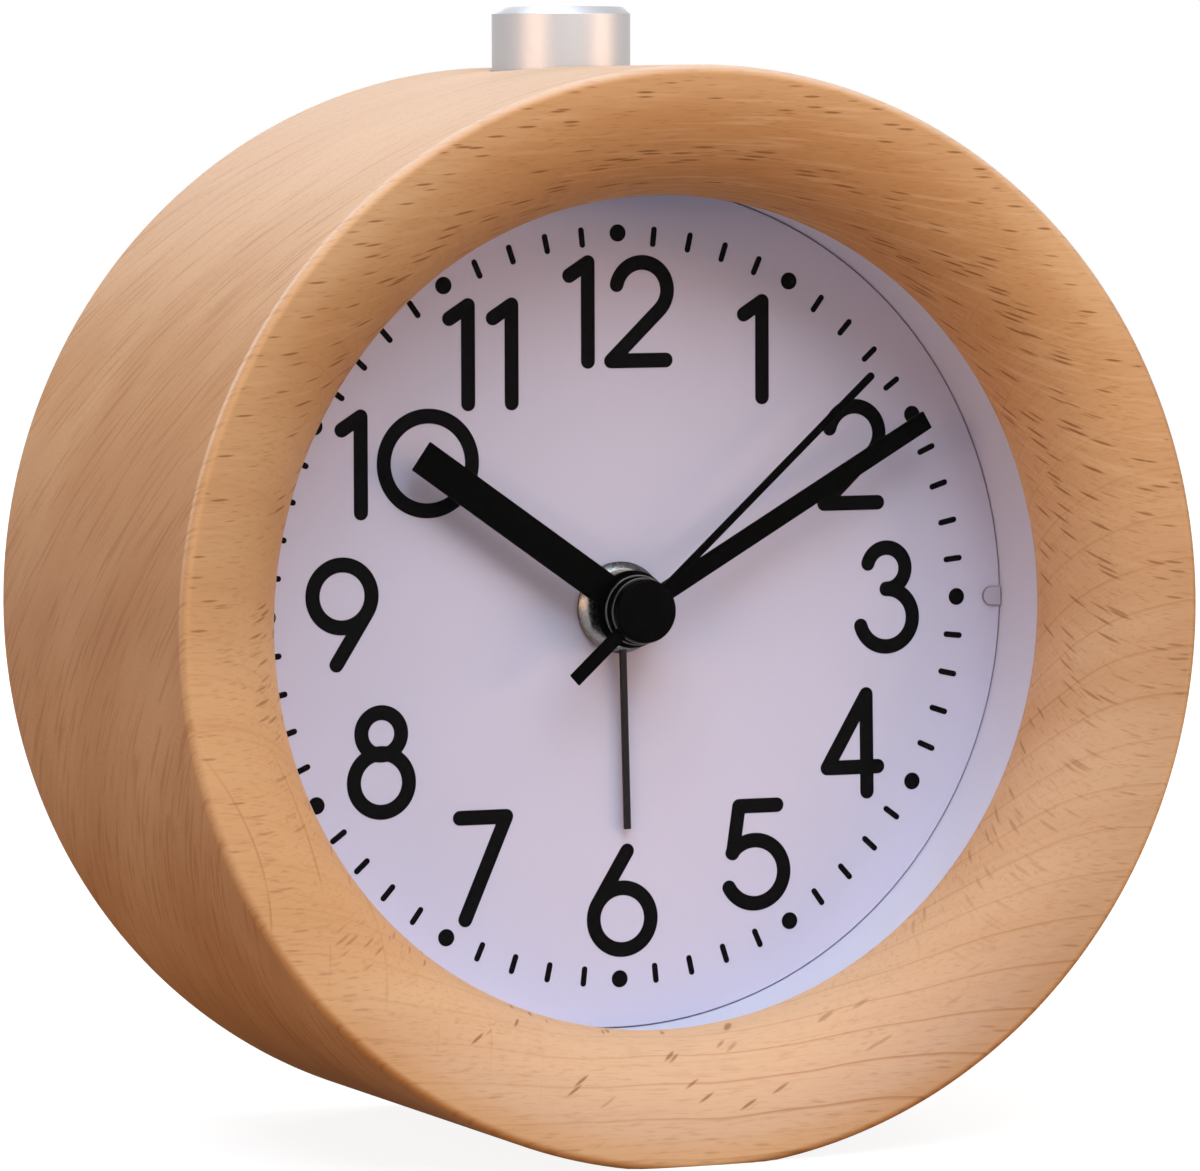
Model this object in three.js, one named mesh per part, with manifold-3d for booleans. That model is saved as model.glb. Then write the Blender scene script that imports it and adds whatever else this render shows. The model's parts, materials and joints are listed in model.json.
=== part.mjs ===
// Round wooden alarm clock with hands, built as separate pieces.
// Millimetres, +Z up. The front faces -Y, +X is to the right, and the standing flat is at z = 0.
import * as THREE from "three";
import { mergeVertices } from "three/addons/utils/BufferGeometryUtils.js";
import Module from "manifold-3d";

const wasm = await Module();
wasm.setup();

// Fits and clearances
const SEAT = 0.05; // between flat faces that sit on each other
const SLIP = 0.2; // radial gap of a piece put into a bore
const RUN = 0.2; // radial gap round a shaft that turns
const CLEAR = 0.45; // least gap between pieces that pass each other
const MERGE = 1e-4; // vertices closer than this are one vertex

// Number of sides of round pieces
const SIDES_CASE = 72;
const SIDES_LARGE = 56;
const SIDES_MEDIUM = 24;
const SIDES_SMALL = 12;
const SIDES_WIRE = 6;
const ARC_STEPS = 4;
const CURVE_STEPS = 6; // pieces of half a circle in a flat shape

// Wooden case
const CASE_D = 100;
const CASE_DEPTH = 50.5;
const BASE_FLAT_DEPTH = 0.5; // planed off the underside, so that the case stands
const FRONT_ROUND = 1.2;
const REAR_ROUND = 1.0;
const BORE_CHAMFER = 0.8;
const DISH_DEPTH = 9.4; // the front ring slopes in by this much
const DISH_BULGE = 0.5; // how far the slope bows outwards at its middle
const DISH_STEPS = 4;
const OPENING_D = 76.4; // clear width of the front opening
const LIP_LAND = 0.5;
const LIP_REACH = 3.4; // the lip covers the rim of the lens by this much

// Lens, dial and dial frame
const LENS_T = 1.5;
const DIAL_DEPTH = 19.9; // front edge of the case to the face of the dial
const DIAL_T = 0.5;
const DIAL_GAP = 0.2; // open joint round the dial
const FRAME_WALL = 2.1;
const FRAME_FLOOR = 2.0;
const PEG_R = 0.95; // pegs at 3 and 9 o'clock that stop the dial turning
const PEG_INSET = 0.95; // peg centre, from the edge of the dial
const PEG_GAP = 0.1;
const BOSS_WALL = 0.9; // centre boss of the frame, round the hand tubes

// Wheel train: tooth counts
const TEETH = {
  rotorPinion: 6,
  intermediateWheel: 30,
  intermediatePinion: 6,
  secondWheel: 36,
  secondPinion: 6,
  thirdWheel: 45,
  thirdPinion: 6,
  centreWheel: 48,
  cannonPinion: 10,
  minuteWheel: 30,
  minutePinion: 8,
  hourWheel: 32,
  alarmPinion: 16,
  alarmWheel: 32,
};
const ADDENDUM = 0.7; // tooth height outside the pitch circle, in modules
const DEDENDUM = 1.0; // tooth depth inside the pitch circle, in modules
const TOOTH_TIP = 0.08; // half width of a tooth at its tip, in pitches
const TOOTH_ROOT = 0.22; // half width of a tooth at its root, in pitches
const THIRD_MODULE = 0.5;
const ROTOR_MODULE = 0.5;
const ALARM_MODULE = 0.6;
const WHEEL_T = 1.0;
const WHEEL_GAP = 0.5; // along the axis, between one wheel and the next
const ARBOR_R = 0.5;
const SHAFT_R = 1.0; // shafts of the two set knobs
const PIVOT_DEPTH = 1.2; // how far an arbor goes into its bearing
const TUBE_WALL = 0.45;
const MOTION_ANGLE = 0; // directions of the arbors from the centre, seen from the front
const INTERMEDIATE_ANGLE = 60;
const THIRD_ANGLE = 120;
const ALARM_ANGLE = 180;
const ROTOR_ANGLE = 50; // direction of the rotor from the intermediate wheel

// Hands
const HAND_GAP = 0.3; // between one hand's hub and the next
const HAND_T = 0.4;
const HOUR_ANGLE = 305;
const HOUR_L = 25.4;
const HOUR_W = 3.1;
const HOUR_HUB_R = 3.6;
const HOUR_BUSH_R = 2.9;
const HOUR_BUSH_T = 1.5;
const MINUTE_ANGLE = 60;
const MINUTE_L = 34;
const MINUTE_W = 1.8;
const MINUTE_HUB_R = 3.25;
const MINUTE_BUSH_R = 2.6;
const MINUTE_BUSH_T = 0.6;
const SECOND_ANGLE = 47.5;
const SECOND_L = 31.7;
const SECOND_W = 0.72;
const SECOND_T = 0.3;
const SECOND_HUB_R = 3.05;
const SECOND_BUSH_R = 2.0;
const SECOND_BUSH_T = 0.5;
const TAIL_L = 9.2;
const TAIL_W = 1.3;
const CAP_R = 2.95;
const CAP_T = 0.95;
const CAP_ROUND = 0.3;
const ALARM_HAND_ANGLE = 178.6;
const ALARM_HAND_L = 20.6;
const ALARM_HAND_W = 0.88;
const ALARM_HUB_R = 4.25;
const ALARM_HUB_T = 0.9;
const ALARM_HUB_BEVEL = 0.6;

// Snooze button
const BUTTON_D = 13;
const BUTTON_PROUD = 5.6; // above the top of the case
const BUTTON_CHAMFER = 0.7;
const BUTTON_SETBACK = 33.4; // front edge of the case to the middle of the button
const BUTTON_TOP_T = 2.2;
const BUTTON_WALL = 1.2;
const BUTTON_TRAVEL = 1.5;
const STEM_R = 1.6;
const STEM_TAIL = 1.5; // stem below its clip
const GUIDE_T = 2.4;
const GUIDE_LAND = 1.05; // from the bore of the case to the guide
const CLIP_R = 3.0;
const CLIP_T = 0.6;
const GROOVE_DEPTH = 0.4;
const SPRING_R = 3.4;
const SPRING_WIRE_R = 0.3;
const SPRING_TURNS = 5;
const LEAF_T = 0.3;
const LEAF_W = 4;
const LEAF_FOOT = 4; // length of the contact leaf on the circuit board

// Rear cover, screws and knobs
const COVER_T = 2;
const PLATE_T = 2; // rear plate of the movement
const PLATE_CORNER_R = 4;
const PLATE_MARGIN = 4; // plate round its screws
const COVER_PILLAR_R = 2.8;
const COVER_PILLAR_EDGE = 4.7; // pillar centre, from the bore
const COVER_PILLAR_ANGLES = [33, 147, 193, 347];
const PLATE_PILLAR_R = 2;
const PLATE_SCREW_OUT = [9, 10.2]; // lower screws, from the alarm and time shafts outwards
const PLATE_SCREW_SIDE = 7.5; // upper right screw, from the time shaft
const SCREW_R = 0.9;
const SCREW_HEAD_R = 2;
const SCREW_HEAD_T = 1.3;
const SCREW_BITE = 6; // thread in the pillar
const SCREW_SLOT = 0.6;
const SCREW_SLOT_REACH = 1.35; // from the screw's axis to the end of its slot
const KNOB_D = 12;
const KNOB_L = 6.2;
const KNOB_RIBS = 18;
const KNOB_RIB = 0.5;
const KNOB_RIB_SHARE = 0.4; // of a rib's pitch, the same for the groove beside it
const KNOB_BEVEL = 0.4;
const KNOB_GRIP = 4; // shaft inside the knob

// Battery, its tray and its door
const CELL_D = 14.5;
const CELL_L = 50.5;
const NUB_R = 2.6;
const NUB_L = 1.2;
const TRAY_WALL = 1;
const TRAY_GAP = 0.3;
const TRAY_DROP = 1.15; // from the centre wheel down to the tray
const TRAY_FRONT_GAP = 1.9; // from the dial frame's floor to the tray
const CONTACT_ROOM = 2; // between an end of the cell and the tray
const CONTACT_T = 0.4;
const CONTACT_W = 10;
const CONTACT_WIRE_R = 0.3;
const CONTACT_TURNS = 2.5;
const CONTACT_OUTER_R = 4.6;
const CONTACT_INNER_R = 2;
const DOOR_GAP = 0.25;
const DOOR_PIN_R = 0.55;
const DOOR_PIN_L = 0.9;
const DOOR_GRIP_R = 3; // finger notch in the door's top edge

// Motor, circuit and sounder
const MAGNET_R = 2.6;
const MAGNET_T = 3;
const STATOR_T = 1.2;
const STATOR_GAP = 0.5; // round the magnet
const STATOR_ARM = 4; // half height of the stator's bar
const STATOR_W = 19.6;
const STATOR_LEG = 3;
const STATOR_SIDE = 4.7; // from the rotor to the stator's near end
const STATOR_POST_R = 1.4;
const COIL_RISE = 9.7; // from the rotor to the middle of the coil
const CORE_H = 3;
const CORE_T = 1.15;
const BOBBIN_WALL = 0.4;
const BOBBIN_FLANGE_R = 3.7;
const BOBBIN_FLANGE_T = 0.6;
const WINDING_R = 3.4;
const BOARD_W = 28;
const BOARD_H = 9.2;
const BOARD_T = 1.2;
const BOARD_CORNER_R = 1;
const BOARD_GAP = 1.35; // from the board to the stator and to the third wheel
const BOARD_POST_R = 1.8;
const BOARD_POST_INSET = 3;
const BOARD_PEG_R = 0.8;
const CHIP_R = 3;
const CHIP_T = 1.2;
const CHIP_SHOULDER_R = 2.4; // where the rounded top begins
const CHIP_SHOULDER_T = 0.84;
const CRYSTAL_R = 1;
const CRYSTAL_L = 6;
const BUZZER_R = 8.6;
const BUZZER_T = 5;
const BUZZER_HOLE_R = 1.5;
const BUZZER_EDGE = 2.6; // buzzer's rim, from the bore
const BUZZER_ANGLE = 172;
const SOUND_HOLE_R = 0.9;
const SOUND_HOLE_PITCH = 3.2;
const SOUND_HOLES = 6; // round the middle one

// Alarm switch
const SWITCH_RISE = 19.5; // above the centre of the dial
const SWITCH_W = 5;
const SWITCH_H = 3.4;
const SWITCH_PROUD = 3;
const SWITCH_TRAVEL = 4;
const SWITCH_SLOT_GAP = 0.3;
const SWITCH_BASE_RIM = 1.5;
const SWITCH_BASE_T = 1;
const SWITCH_BODY_RIM = 1.2;

// Wheel train: modules that bring the arbors clear of the wheels they pass
const tipRadius = (teeth, module) => module * (teeth / 2 + ADDENDUM);
const distance = (a, b, module) => (module * (a + b)) / 2;
const moduleFor = (a, b, length) => (2 * length) / (a + b);

const THIRD_AT = distance(TEETH.secondPinion, TEETH.thirdWheel, THIRD_MODULE);
const CENTRE_MODULE = moduleFor(TEETH.thirdPinion, TEETH.centreWheel, THIRD_AT);
const CENTRE_TIP_R = tipRadius(TEETH.centreWheel, CENTRE_MODULE);
const INTERMEDIATE_AT = CENTRE_TIP_R + ARBOR_R + CLEAR;
const SECOND_MODULE = moduleFor(TEETH.intermediatePinion, TEETH.secondWheel, INTERMEDIATE_AT);
const MOTION_AT = CENTRE_TIP_R + SHAFT_R + CLEAR;
const MOTION_MODULE = moduleFor(TEETH.cannonPinion, TEETH.minuteWheel, MOTION_AT);
const ALARM_AT = distance(TEETH.alarmPinion, TEETH.alarmWheel, ALARM_MODULE);
const ROTOR_AT = distance(TEETH.rotorPinion, TEETH.intermediateWheel, ROTOR_MODULE);

// Battery tray, under the centre wheel
const TRAY_HALF_L = CELL_L / 2 + CONTACT_ROOM + TRAY_WALL;
const TRAY_HALF_H = CELL_D / 2 + TRAY_GAP + TRAY_WALL;
const CELL_Z = -(CENTRE_TIP_R + TRAY_DROP + TRAY_HALF_H);
const TRAY_CORNER_R = Math.hypot(TRAY_HALF_L, CELL_Z - TRAY_HALF_H);

// Case, dial and cover: the bore takes the lens and clears the tray
const CASE_R = CASE_D / 2;
const AXIS_Z = CASE_R - BASE_FLAT_DEPTH;
const OPENING_R = OPENING_D / 2;
const BORE_R = Math.max(OPENING_R + LIP_REACH, TRAY_CORNER_R + CLEAR);
const INSERT_R = BORE_R - SLIP;
const CASE_FRONT = -CASE_DEPTH / 2;
const CASE_REAR = CASE_DEPTH / 2;
const LENS_FRONT = CASE_FRONT + DISH_DEPTH + LIP_LAND + SEAT;
const LENS_REAR = LENS_FRONT + LENS_T;
const DIAL_FACE = CASE_FRONT + DIAL_DEPTH;
const FLOOR_FRONT = DIAL_FACE + DIAL_T + SEAT;
const FLOOR_REAR = FLOOR_FRONT + FRAME_FLOOR;
const FRAME_BORE_R = INSERT_R - FRAME_WALL;
const DIAL_R = FRAME_BORE_R - DIAL_GAP;
const PEG_AT = DIAL_R - PEG_INSET;
const TRAY_FRONT = FLOOR_REAR + TRAY_FRONT_GAP;
const CELL_Y = TRAY_FRONT + TRAY_WALL + TRAY_GAP + CELL_D / 2;
const TRAY_REAR = CELL_Y + CELL_D / 2 + TRAY_GAP;
const COVER_FRONT = TRAY_REAR + SEAT;
const COVER_REAR = COVER_FRONT + COVER_T;

const LEVELS = ["alarm", "hour", "motion", "centre", "third", "second", "intermediate"];
const levelFront = (level) => FLOOR_REAR + WHEEL_GAP + LEVELS.indexOf(level) * (WHEEL_T + WHEEL_GAP);
const levelRear = (level) => levelFront(level) + WHEEL_T;
const PLATE_FRONT = levelRear(LEVELS.at(-1)) + WHEEL_GAP;
const PLATE_REAR = PLATE_FRONT + PLATE_T;
const PIVOT_FRONT = FLOOR_REAR - PIVOT_DEPTH;
const PIVOT_REAR = PLATE_FRONT + PIVOT_DEPTH;
const KNOB_FRONT = COVER_REAR + CLEAR;

const radians = (degrees) => (degrees * Math.PI) / 180;
const polar = (radius, degrees) =>
  new THREE.Vector2(radius * Math.cos(radians(degrees)), radius * Math.sin(radians(degrees)));

const MOTION_POINT = polar(MOTION_AT, MOTION_ANGLE);
const INTERMEDIATE_POINT = polar(INTERMEDIATE_AT, INTERMEDIATE_ANGLE);
const THIRD_POINT = polar(THIRD_AT, THIRD_ANGLE);
const ALARM_POINT = polar(ALARM_AT, ALARM_ANGLE);
const ROTOR_POINT = INTERMEDIATE_POINT.clone().add(polar(ROTOR_AT, ROTOR_ANGLE));

// Hand tubes, one inside the other
const MINUTE_TUBE_R = ARBOR_R + RUN + TUBE_WALL;
const HOUR_TUBE_R = MINUTE_TUBE_R + RUN + TUBE_WALL;
const ALARM_TUBE_R = HOUR_TUBE_R + RUN + TUBE_WALL;
const BOSS_BORE_R = ALARM_TUBE_R + RUN;
const BOSS_R = BOSS_BORE_R + BOSS_WALL;
const DIAL_HOLE_R = BOSS_R + SLIP;

// Hands in front of the dial, each on the one behind it
const ALARM_HUB_REAR = DIAL_FACE - HAND_GAP;
const ALARM_HUB_FRONT = ALARM_HUB_REAR - ALARM_HUB_T;
const HOUR_REAR = ALARM_HUB_FRONT - HAND_GAP - HOUR_BUSH_T;
const HOUR_FRONT = HOUR_REAR - HAND_T;
const MINUTE_REAR = HOUR_FRONT - HAND_GAP - MINUTE_BUSH_T;
const MINUTE_FRONT = MINUTE_REAR - HAND_T;
const SECOND_REAR = MINUTE_FRONT - HAND_GAP - SECOND_BUSH_T;
const SECOND_FRONT = SECOND_REAR - SECOND_T;
const CAP_REAR = SECOND_FRONT - SEAT;

// Snooze button, heights above the centre of the dial
const BUTTON_R = BUTTON_D / 2;
const BUTTON_Y = CASE_FRONT + BUTTON_SETBACK;
const BUTTON_HOLE_R = BUTTON_R + SLIP;
const BUTTON_TOP = CASE_R + BUTTON_PROUD;
const BUTTON_CEILING = BUTTON_TOP - BUTTON_TOP_T;
const GUIDE_END = BORE_R + GUIDE_LAND;
const GUIDE_TOP = GUIDE_END + GUIDE_T;
const SKIRT_END = GUIDE_TOP + CLEAR + BUTTON_TRAVEL;
const CLIP_TOP = GUIDE_END - SLIP;
const CLIP_END = CLIP_TOP - CLIP_T;
const STEM_END = CLIP_END - STEM_TAIL;
const LEAF_TOP = STEM_END - BUTTON_TRAVEL - CLEAR;

// Battery door
const DOOR_HALF_W = TRAY_HALF_L - TRAY_WALL;
const DOOR_LOW = CELL_Z - CELL_D / 2 - TRAY_GAP;
const DOOR_HIGH = CELL_Z + CELL_D / 2 + TRAY_GAP;
const DOOR_Y = (COVER_FRONT + COVER_REAR) / 2;
const DOOR_HINGE_Z = DOOR_LOW + DOOR_GAP + COVER_T / 2;

// Motor, circuit and screws
const STATOR_LEFT = ROTOR_POINT.x - STATOR_SIDE;
const STATOR_RIGHT = STATOR_LEFT + STATOR_W;
const STATOR_LOW = ROTOR_POINT.y - STATOR_ARM;
const STATOR_FRONT = levelRear("centre") + SEAT;
const MAGNET_FRONT = STATOR_FRONT + (STATOR_T - MAGNET_T) / 2;
const CORE_REAR = STATOR_FRONT - SEAT;
const COIL_Z = ROTOR_POINT.y + COIL_RISE;
const COIL_START = STATOR_LEFT + STATOR_LEG + CLEAR;
const COIL_END = STATOR_RIGHT - STATOR_LEG - CLEAR;
const BOBBIN_BORE_R = Math.hypot(CORE_H, CORE_T) / 2 + RUN;
const THIRD_TIP_R = tipRadius(TEETH.thirdWheel, THIRD_MODULE);
const BOARD_RIGHT = STATOR_LEFT - BOARD_GAP;
const BOARD_LEFT = BOARD_RIGHT - BOARD_W;
const BOARD_FRONT = levelFront("second");
const BOARD_LOW = THIRD_POINT.y + THIRD_TIP_R + BOARD_GAP;
const BUZZER_POINT = polar(BORE_R - BUZZER_EDGE - BUZZER_R, BUZZER_ANGLE);
const PILLAR_REACH = PLATE_PILLAR_R + CLEAR;
const COVER_SCREWS = COVER_PILLAR_ANGLES.map((angle) => polar(BORE_R - COVER_PILLAR_EDGE, angle));
const PLATE_SCREW_LOW = CELL_Z + TRAY_HALF_H + PILLAR_REACH + CLEAR;
const PLATE_SCREWS = [
  new THREE.Vector2(MOTION_POINT.x + PLATE_SCREW_SIDE, STATOR_LOW - PILLAR_REACH),
  new THREE.Vector2(THIRD_POINT.x - THIRD_TIP_R - PILLAR_REACH, THIRD_POINT.y + PILLAR_REACH),
  new THREE.Vector2(ALARM_POINT.x - PLATE_SCREW_OUT[0], PLATE_SCREW_LOW),
  new THREE.Vector2(MOTION_POINT.x + PLATE_SCREW_OUT[1], PLATE_SCREW_LOW),
];

// Plain geometry without normals, as a solid for cutting and joining
function toSolid(geometry) {
  const loose = geometry.index ? geometry.toNonIndexed() : geometry;
  const bare = new THREE.BufferGeometry();
  bare.setAttribute("position", loose.getAttribute("position"));
  const merged = mergeVertices(bare, MERGE);
  const corners = merged.index.array;
  const kept = [];
  for (let i = 0; i < corners.length; i += 3) {
    const [a, b, c] = corners.slice(i, i + 3);
    if (a !== b && b !== c && c !== a) kept.push(a, b, c);
  }
  const vertProperties = merged.attributes.position.array;
  return new wasm.Manifold(
    new wasm.Mesh({ numProp: 3, vertProperties, triVerts: new Uint32Array(kept) }),
  );
}

function toGeometry(solid) {
  const mesh = solid.getMesh();
  const shared = new THREE.BufferGeometry();
  shared.setAttribute("position", new THREE.BufferAttribute(mesh.vertProperties, 3));
  shared.setIndex(new THREE.BufferAttribute(mesh.triVerts, 1));
  const geometry = shared.toNonIndexed();
  geometry.computeVertexNormals();
  return geometry;
}

function join(...geometries) {
  return toGeometry(geometries.map(toSolid).reduce((sum, solid) => sum.add(solid)));
}

function cut(geometry, ...tools) {
  return toGeometry(tools.map(toSolid).reduce((rest, tool) => rest.subtract(tool), toSolid(geometry)));
}

// A profile of [radius, y] points turned about the Y axis
function turned(profile, sides = SIDES_MEDIUM) {
  const points = profile.map(([radius, y]) => new THREE.Vector2(radius, y));
  if (THREE.ShapeUtils.isClockWise(points)) points.reverse();
  const onAxis = points[0].x === 0 && points.at(-1).x === 0;
  if (!onAxis) points.push(points[0].clone());
  return new THREE.LatheGeometry(points, sides);
}

// The same, turned about a vertical axis, from [radius, z] points
const turnedUpright = (profile, sides) => turned(profile, sides).rotateX(Math.PI / 2);

// The same, turned about the X axis, from [radius, x] points
const turnedSideways = (profile, sides) => turned(profile, sides).rotateZ(-Math.PI / 2);

// A round bar along Y, between its front and rear ends
function rod(radius, front, rear, sides = SIDES_SMALL) {
  return turned([[0, front], [radius, front], [radius, rear], [0, rear]], sides);
}

function rodAt(point, radius, front, rear, sides) {
  return rod(radius, front, rear, sides).translate(point.x, 0, point.y);
}

function box(x0, x1, y0, y1, z0, z1) {
  return new THREE.BoxGeometry(x1 - x0, y1 - y0, z1 - z0).translate(
    (x0 + x1) / 2,
    (y0 + y1) / 2,
    (z0 + z1) / 2,
  );
}

// A flat shape drawn in X and Z, with its thickness along Y
function plate(shape, front, rear, options = {}) {
  const settings = { depth: rear - front, bevelEnabled: false, curveSegments: CURVE_STEPS, ...options };
  return new THREE.ExtrudeGeometry(shape, settings).rotateX(Math.PI / 2).translate(0, rear, 0);
}

function roundedRectangle(x0, x1, z0, z1, radius) {
  const shape = new THREE.Shape();
  shape.moveTo(x0 + radius, z0);
  shape.lineTo(x1 - radius, z0);
  shape.absarc(x1 - radius, z0 + radius, radius, -Math.PI / 2, 0);
  shape.absarc(x1 - radius, z1 - radius, radius, 0, Math.PI / 2);
  shape.absarc(x0 + radius, z1 - radius, radius, Math.PI / 2, Math.PI);
  shape.absarc(x0 + radius, z0 + radius, radius, Math.PI, Math.PI * 1.5);
  return shape;
}

// Points of a quarter turn about a centre, for rounded edges of a profile
function arc(centre, radius, fromDegrees, toDegrees) {
  return Array.from({ length: ARC_STEPS + 1 }, (_, i) => {
    const step = polar(radius, fromDegrees + ((toDegrees - fromDegrees) * i) / ARC_STEPS);
    return [centre[0] + step.x, centre[1] + step.y];
  });
}

// Gear with one tooth centred on an angle
function gear(teeth, module, toothAngle, level) {
  const pitch = (2 * Math.PI) / teeth;
  const root = module * (teeth / 2 - DEDENDUM);
  const tip = tipRadius(teeth, module);
  const points = [];
  for (let k = 0; k < teeth; k += 1) {
    const middle = radians(toothAngle) + k * pitch;
    const corners = [
      [root, -TOOTH_ROOT],
      [tip, -TOOTH_TIP],
      [tip, TOOTH_TIP],
      [root, TOOTH_ROOT],
    ];
    for (const [radius, share] of corners) {
      const angle = middle + share * pitch;
      points.push(new THREE.Vector2(radius * Math.cos(angle), radius * Math.sin(angle)));
    }
  }
  const front = levelFront(level);
  return plate(new THREE.Shape(points), front, front + WHEEL_T);
}

// Angle of a tooth that leaves a gap facing the other gear, which lies in a direction
const gapTowards = (direction, teeth) => direction + 180 / teeth;

// Round wire along a list of points, closed at both ends
function wire(points, radius) {
  const path = new THREE.CatmullRomCurve3(points);
  const profile = new THREE.Shape();
  profile.absarc(0, 0, radius, 0, 2 * Math.PI);
  return new THREE.ExtrudeGeometry(profile, {
    steps: points.length - 1,
    extrudePath: path,
    curveSegments: SIDES_WIRE / 2,
  });
}

// Points of a coil round the Y axis, from one radius and place to another
function coil(turns, fromRadius, toRadius, fromY, toY) {
  const steps = Math.round(turns * SIDES_SMALL);
  return Array.from({ length: steps + 1 }, (_, i) => {
    const share = i / steps;
    const radius = THREE.MathUtils.lerp(fromRadius, toRadius, share);
    const angle = share * turns * 2 * Math.PI;
    const y = THREE.MathUtils.lerp(fromY, toY, share);
    return new THREE.Vector3(radius * Math.cos(angle), y, radius * Math.sin(angle));
  });
}

// Wooden case
function woodCase() {
  const slopeStart = [CASE_R - FRONT_ROUND, CASE_FRONT];
  const slopeEnd = [OPENING_R, CASE_FRONT + DISH_DEPTH];
  const slope = [];
  for (let i = 1; i < DISH_STEPS; i += 1) {
    const share = i / DISH_STEPS;
    const bow = 4 * share * (1 - share) * DISH_BULGE;
    slope.push([
      THREE.MathUtils.lerp(slopeStart[0], slopeEnd[0], share) - bow,
      THREE.MathUtils.lerp(slopeStart[1], slopeEnd[1], share) - bow,
    ]);
  }
  const lipRear = CASE_FRONT + DISH_DEPTH + LIP_LAND;
  const ring = turned(
    [
      ...arc([CASE_R - REAR_ROUND, CASE_REAR - REAR_ROUND], REAR_ROUND, 90, 0),
      ...arc([CASE_R - FRONT_ROUND, CASE_FRONT + FRONT_ROUND], FRONT_ROUND, 0, -90),
      ...slope,
      slopeEnd,
      [OPENING_R, lipRear],
      [BORE_R, lipRear],
      [BORE_R, CASE_REAR - BORE_CHAMFER],
      [BORE_R + BORE_CHAMFER, CASE_REAR],
    ],
    SIDES_CASE,
  );
  const flat = box(-CASE_R, CASE_R, CASE_FRONT - CLEAR, CASE_REAR + CLEAR, -CASE_D, -AXIS_Z);
  const hole = turnedUpright(
    [[0, 0], [BUTTON_HOLE_R, 0], [BUTTON_HOLE_R, CASE_D], [0, CASE_D]],
    SIDES_MEDIUM,
  ).translate(0, BUTTON_Y, 0);
  return cut(ring, flat, hole);
}

// Lens, dial and dial frame
const lens = () => rod(INSERT_R, LENS_FRONT, LENS_REAR, SIDES_LARGE);

// The slot round a peg, open to the edge of the dial
function pegShape(radius, side, front, rear) {
  const round = rodAt(new THREE.Vector2(side * PEG_AT, 0), radius, front, rear);
  const bar = box(
    Math.min(side * PEG_AT, side * FRAME_BORE_R),
    Math.max(side * PEG_AT, side * FRAME_BORE_R),
    front,
    rear,
    -radius,
    radius,
  );
  return join(round, bar);
}

function dial() {
  const rear = DIAL_FACE + DIAL_T;
  const disc = turned(
    [[DIAL_HOLE_R, DIAL_FACE], [DIAL_R, DIAL_FACE], [DIAL_R, rear], [DIAL_HOLE_R, rear]],
    SIDES_LARGE,
  );
  const slots = [-1, 1].map((side) =>
    pegShape(PEG_R + PEG_GAP, side, DIAL_FACE - CLEAR, rear + CLEAR),
  );
  return cut(disc, ...slots);
}

function dialFrame() {
  const cup = turned(
    [
      [BOSS_BORE_R, DIAL_FACE],
      [BOSS_R, DIAL_FACE],
      [BOSS_R, FLOOR_FRONT],
      [FRAME_BORE_R, FLOOR_FRONT],
      [FRAME_BORE_R, LENS_REAR + SEAT],
      [INSERT_R, LENS_REAR + SEAT],
      [INSERT_R, FLOOR_REAR],
      [BOSS_BORE_R, FLOOR_REAR],
    ],
    SIDES_LARGE,
  );
  const root = FLOOR_REAR - SEAT;
  const pegs = [-1, 1].map((side) => pegShape(PEG_R, side, DIAL_FACE, root));
  const pillars = [
    ...COVER_SCREWS.map((at) => rodAt(at, COVER_PILLAR_R, root, COVER_FRONT - SEAT)),
    ...PLATE_SCREWS.map((at) => rodAt(at, PLATE_PILLAR_R, root, PLATE_FRONT - SEAT)),
  ];
  const posts = boardPosts().flatMap((at) => [
    rodAt(at, BOARD_POST_R, root, BOARD_FRONT - SEAT),
    rodAt(at, BOARD_PEG_R, root, BOARD_FRONT + BOARD_T + SEAT),
  ]);
  const rests = [STATOR_LEFT + STATOR_LEG / 2, STATOR_RIGHT - STATOR_LEG / 2].map((x) =>
    rodAt(new THREE.Vector2(x, STATOR_LOW + STATOR_LEG / 2), STATOR_POST_R, root, STATOR_FRONT - SEAT),
  );
  const threads = [
    ...COVER_SCREWS.map((at) => screwHole(at, COVER_FRONT)),
    ...PLATE_SCREWS.map((at) => screwHole(at, PLATE_FRONT)),
  ];
  const bearings = [THIRD_POINT, INTERMEDIATE_POINT, ROTOR_POINT, MOTION_POINT, ALARM_POINT].map((at) =>
    rodAt(at, ARBOR_R + RUN, FLOOR_REAR - PIVOT_DEPTH - RUN, FLOOR_REAR + CLEAR),
  );
  return cut(join(cup, ...pegs, ...pillars, ...posts, ...rests), ...threads, ...bearings);
}

const screwHole = (at, seat) => rodAt(at, SCREW_R + RUN, seat - SCREW_BITE - CLEAR, seat + CLEAR);

// Screws: shank forward, slotted head to the rear
function screw(seat, thickness) {
  const under = seat + thickness + SEAT;
  const shank = turned(
    [
      [0, seat - SCREW_BITE],
      [SCREW_R, seat - SCREW_BITE],
      [SCREW_R, under],
      [SCREW_HEAD_R, under],
      [SCREW_HEAD_R, under + SCREW_HEAD_T],
      [0, under + SCREW_HEAD_T],
    ],
    SIDES_SMALL,
  );
  const half = SCREW_SLOT / 2;
  const deep = under + SCREW_HEAD_T / 2;
  const top = under + SCREW_HEAD_T + CLEAR;
  return cut(
    shank,
    box(-half, half, deep, top, -SCREW_SLOT_REACH, SCREW_SLOT_REACH),
    box(-SCREW_SLOT_REACH, SCREW_SLOT_REACH, deep, top, -half, half),
  );
}

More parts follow.
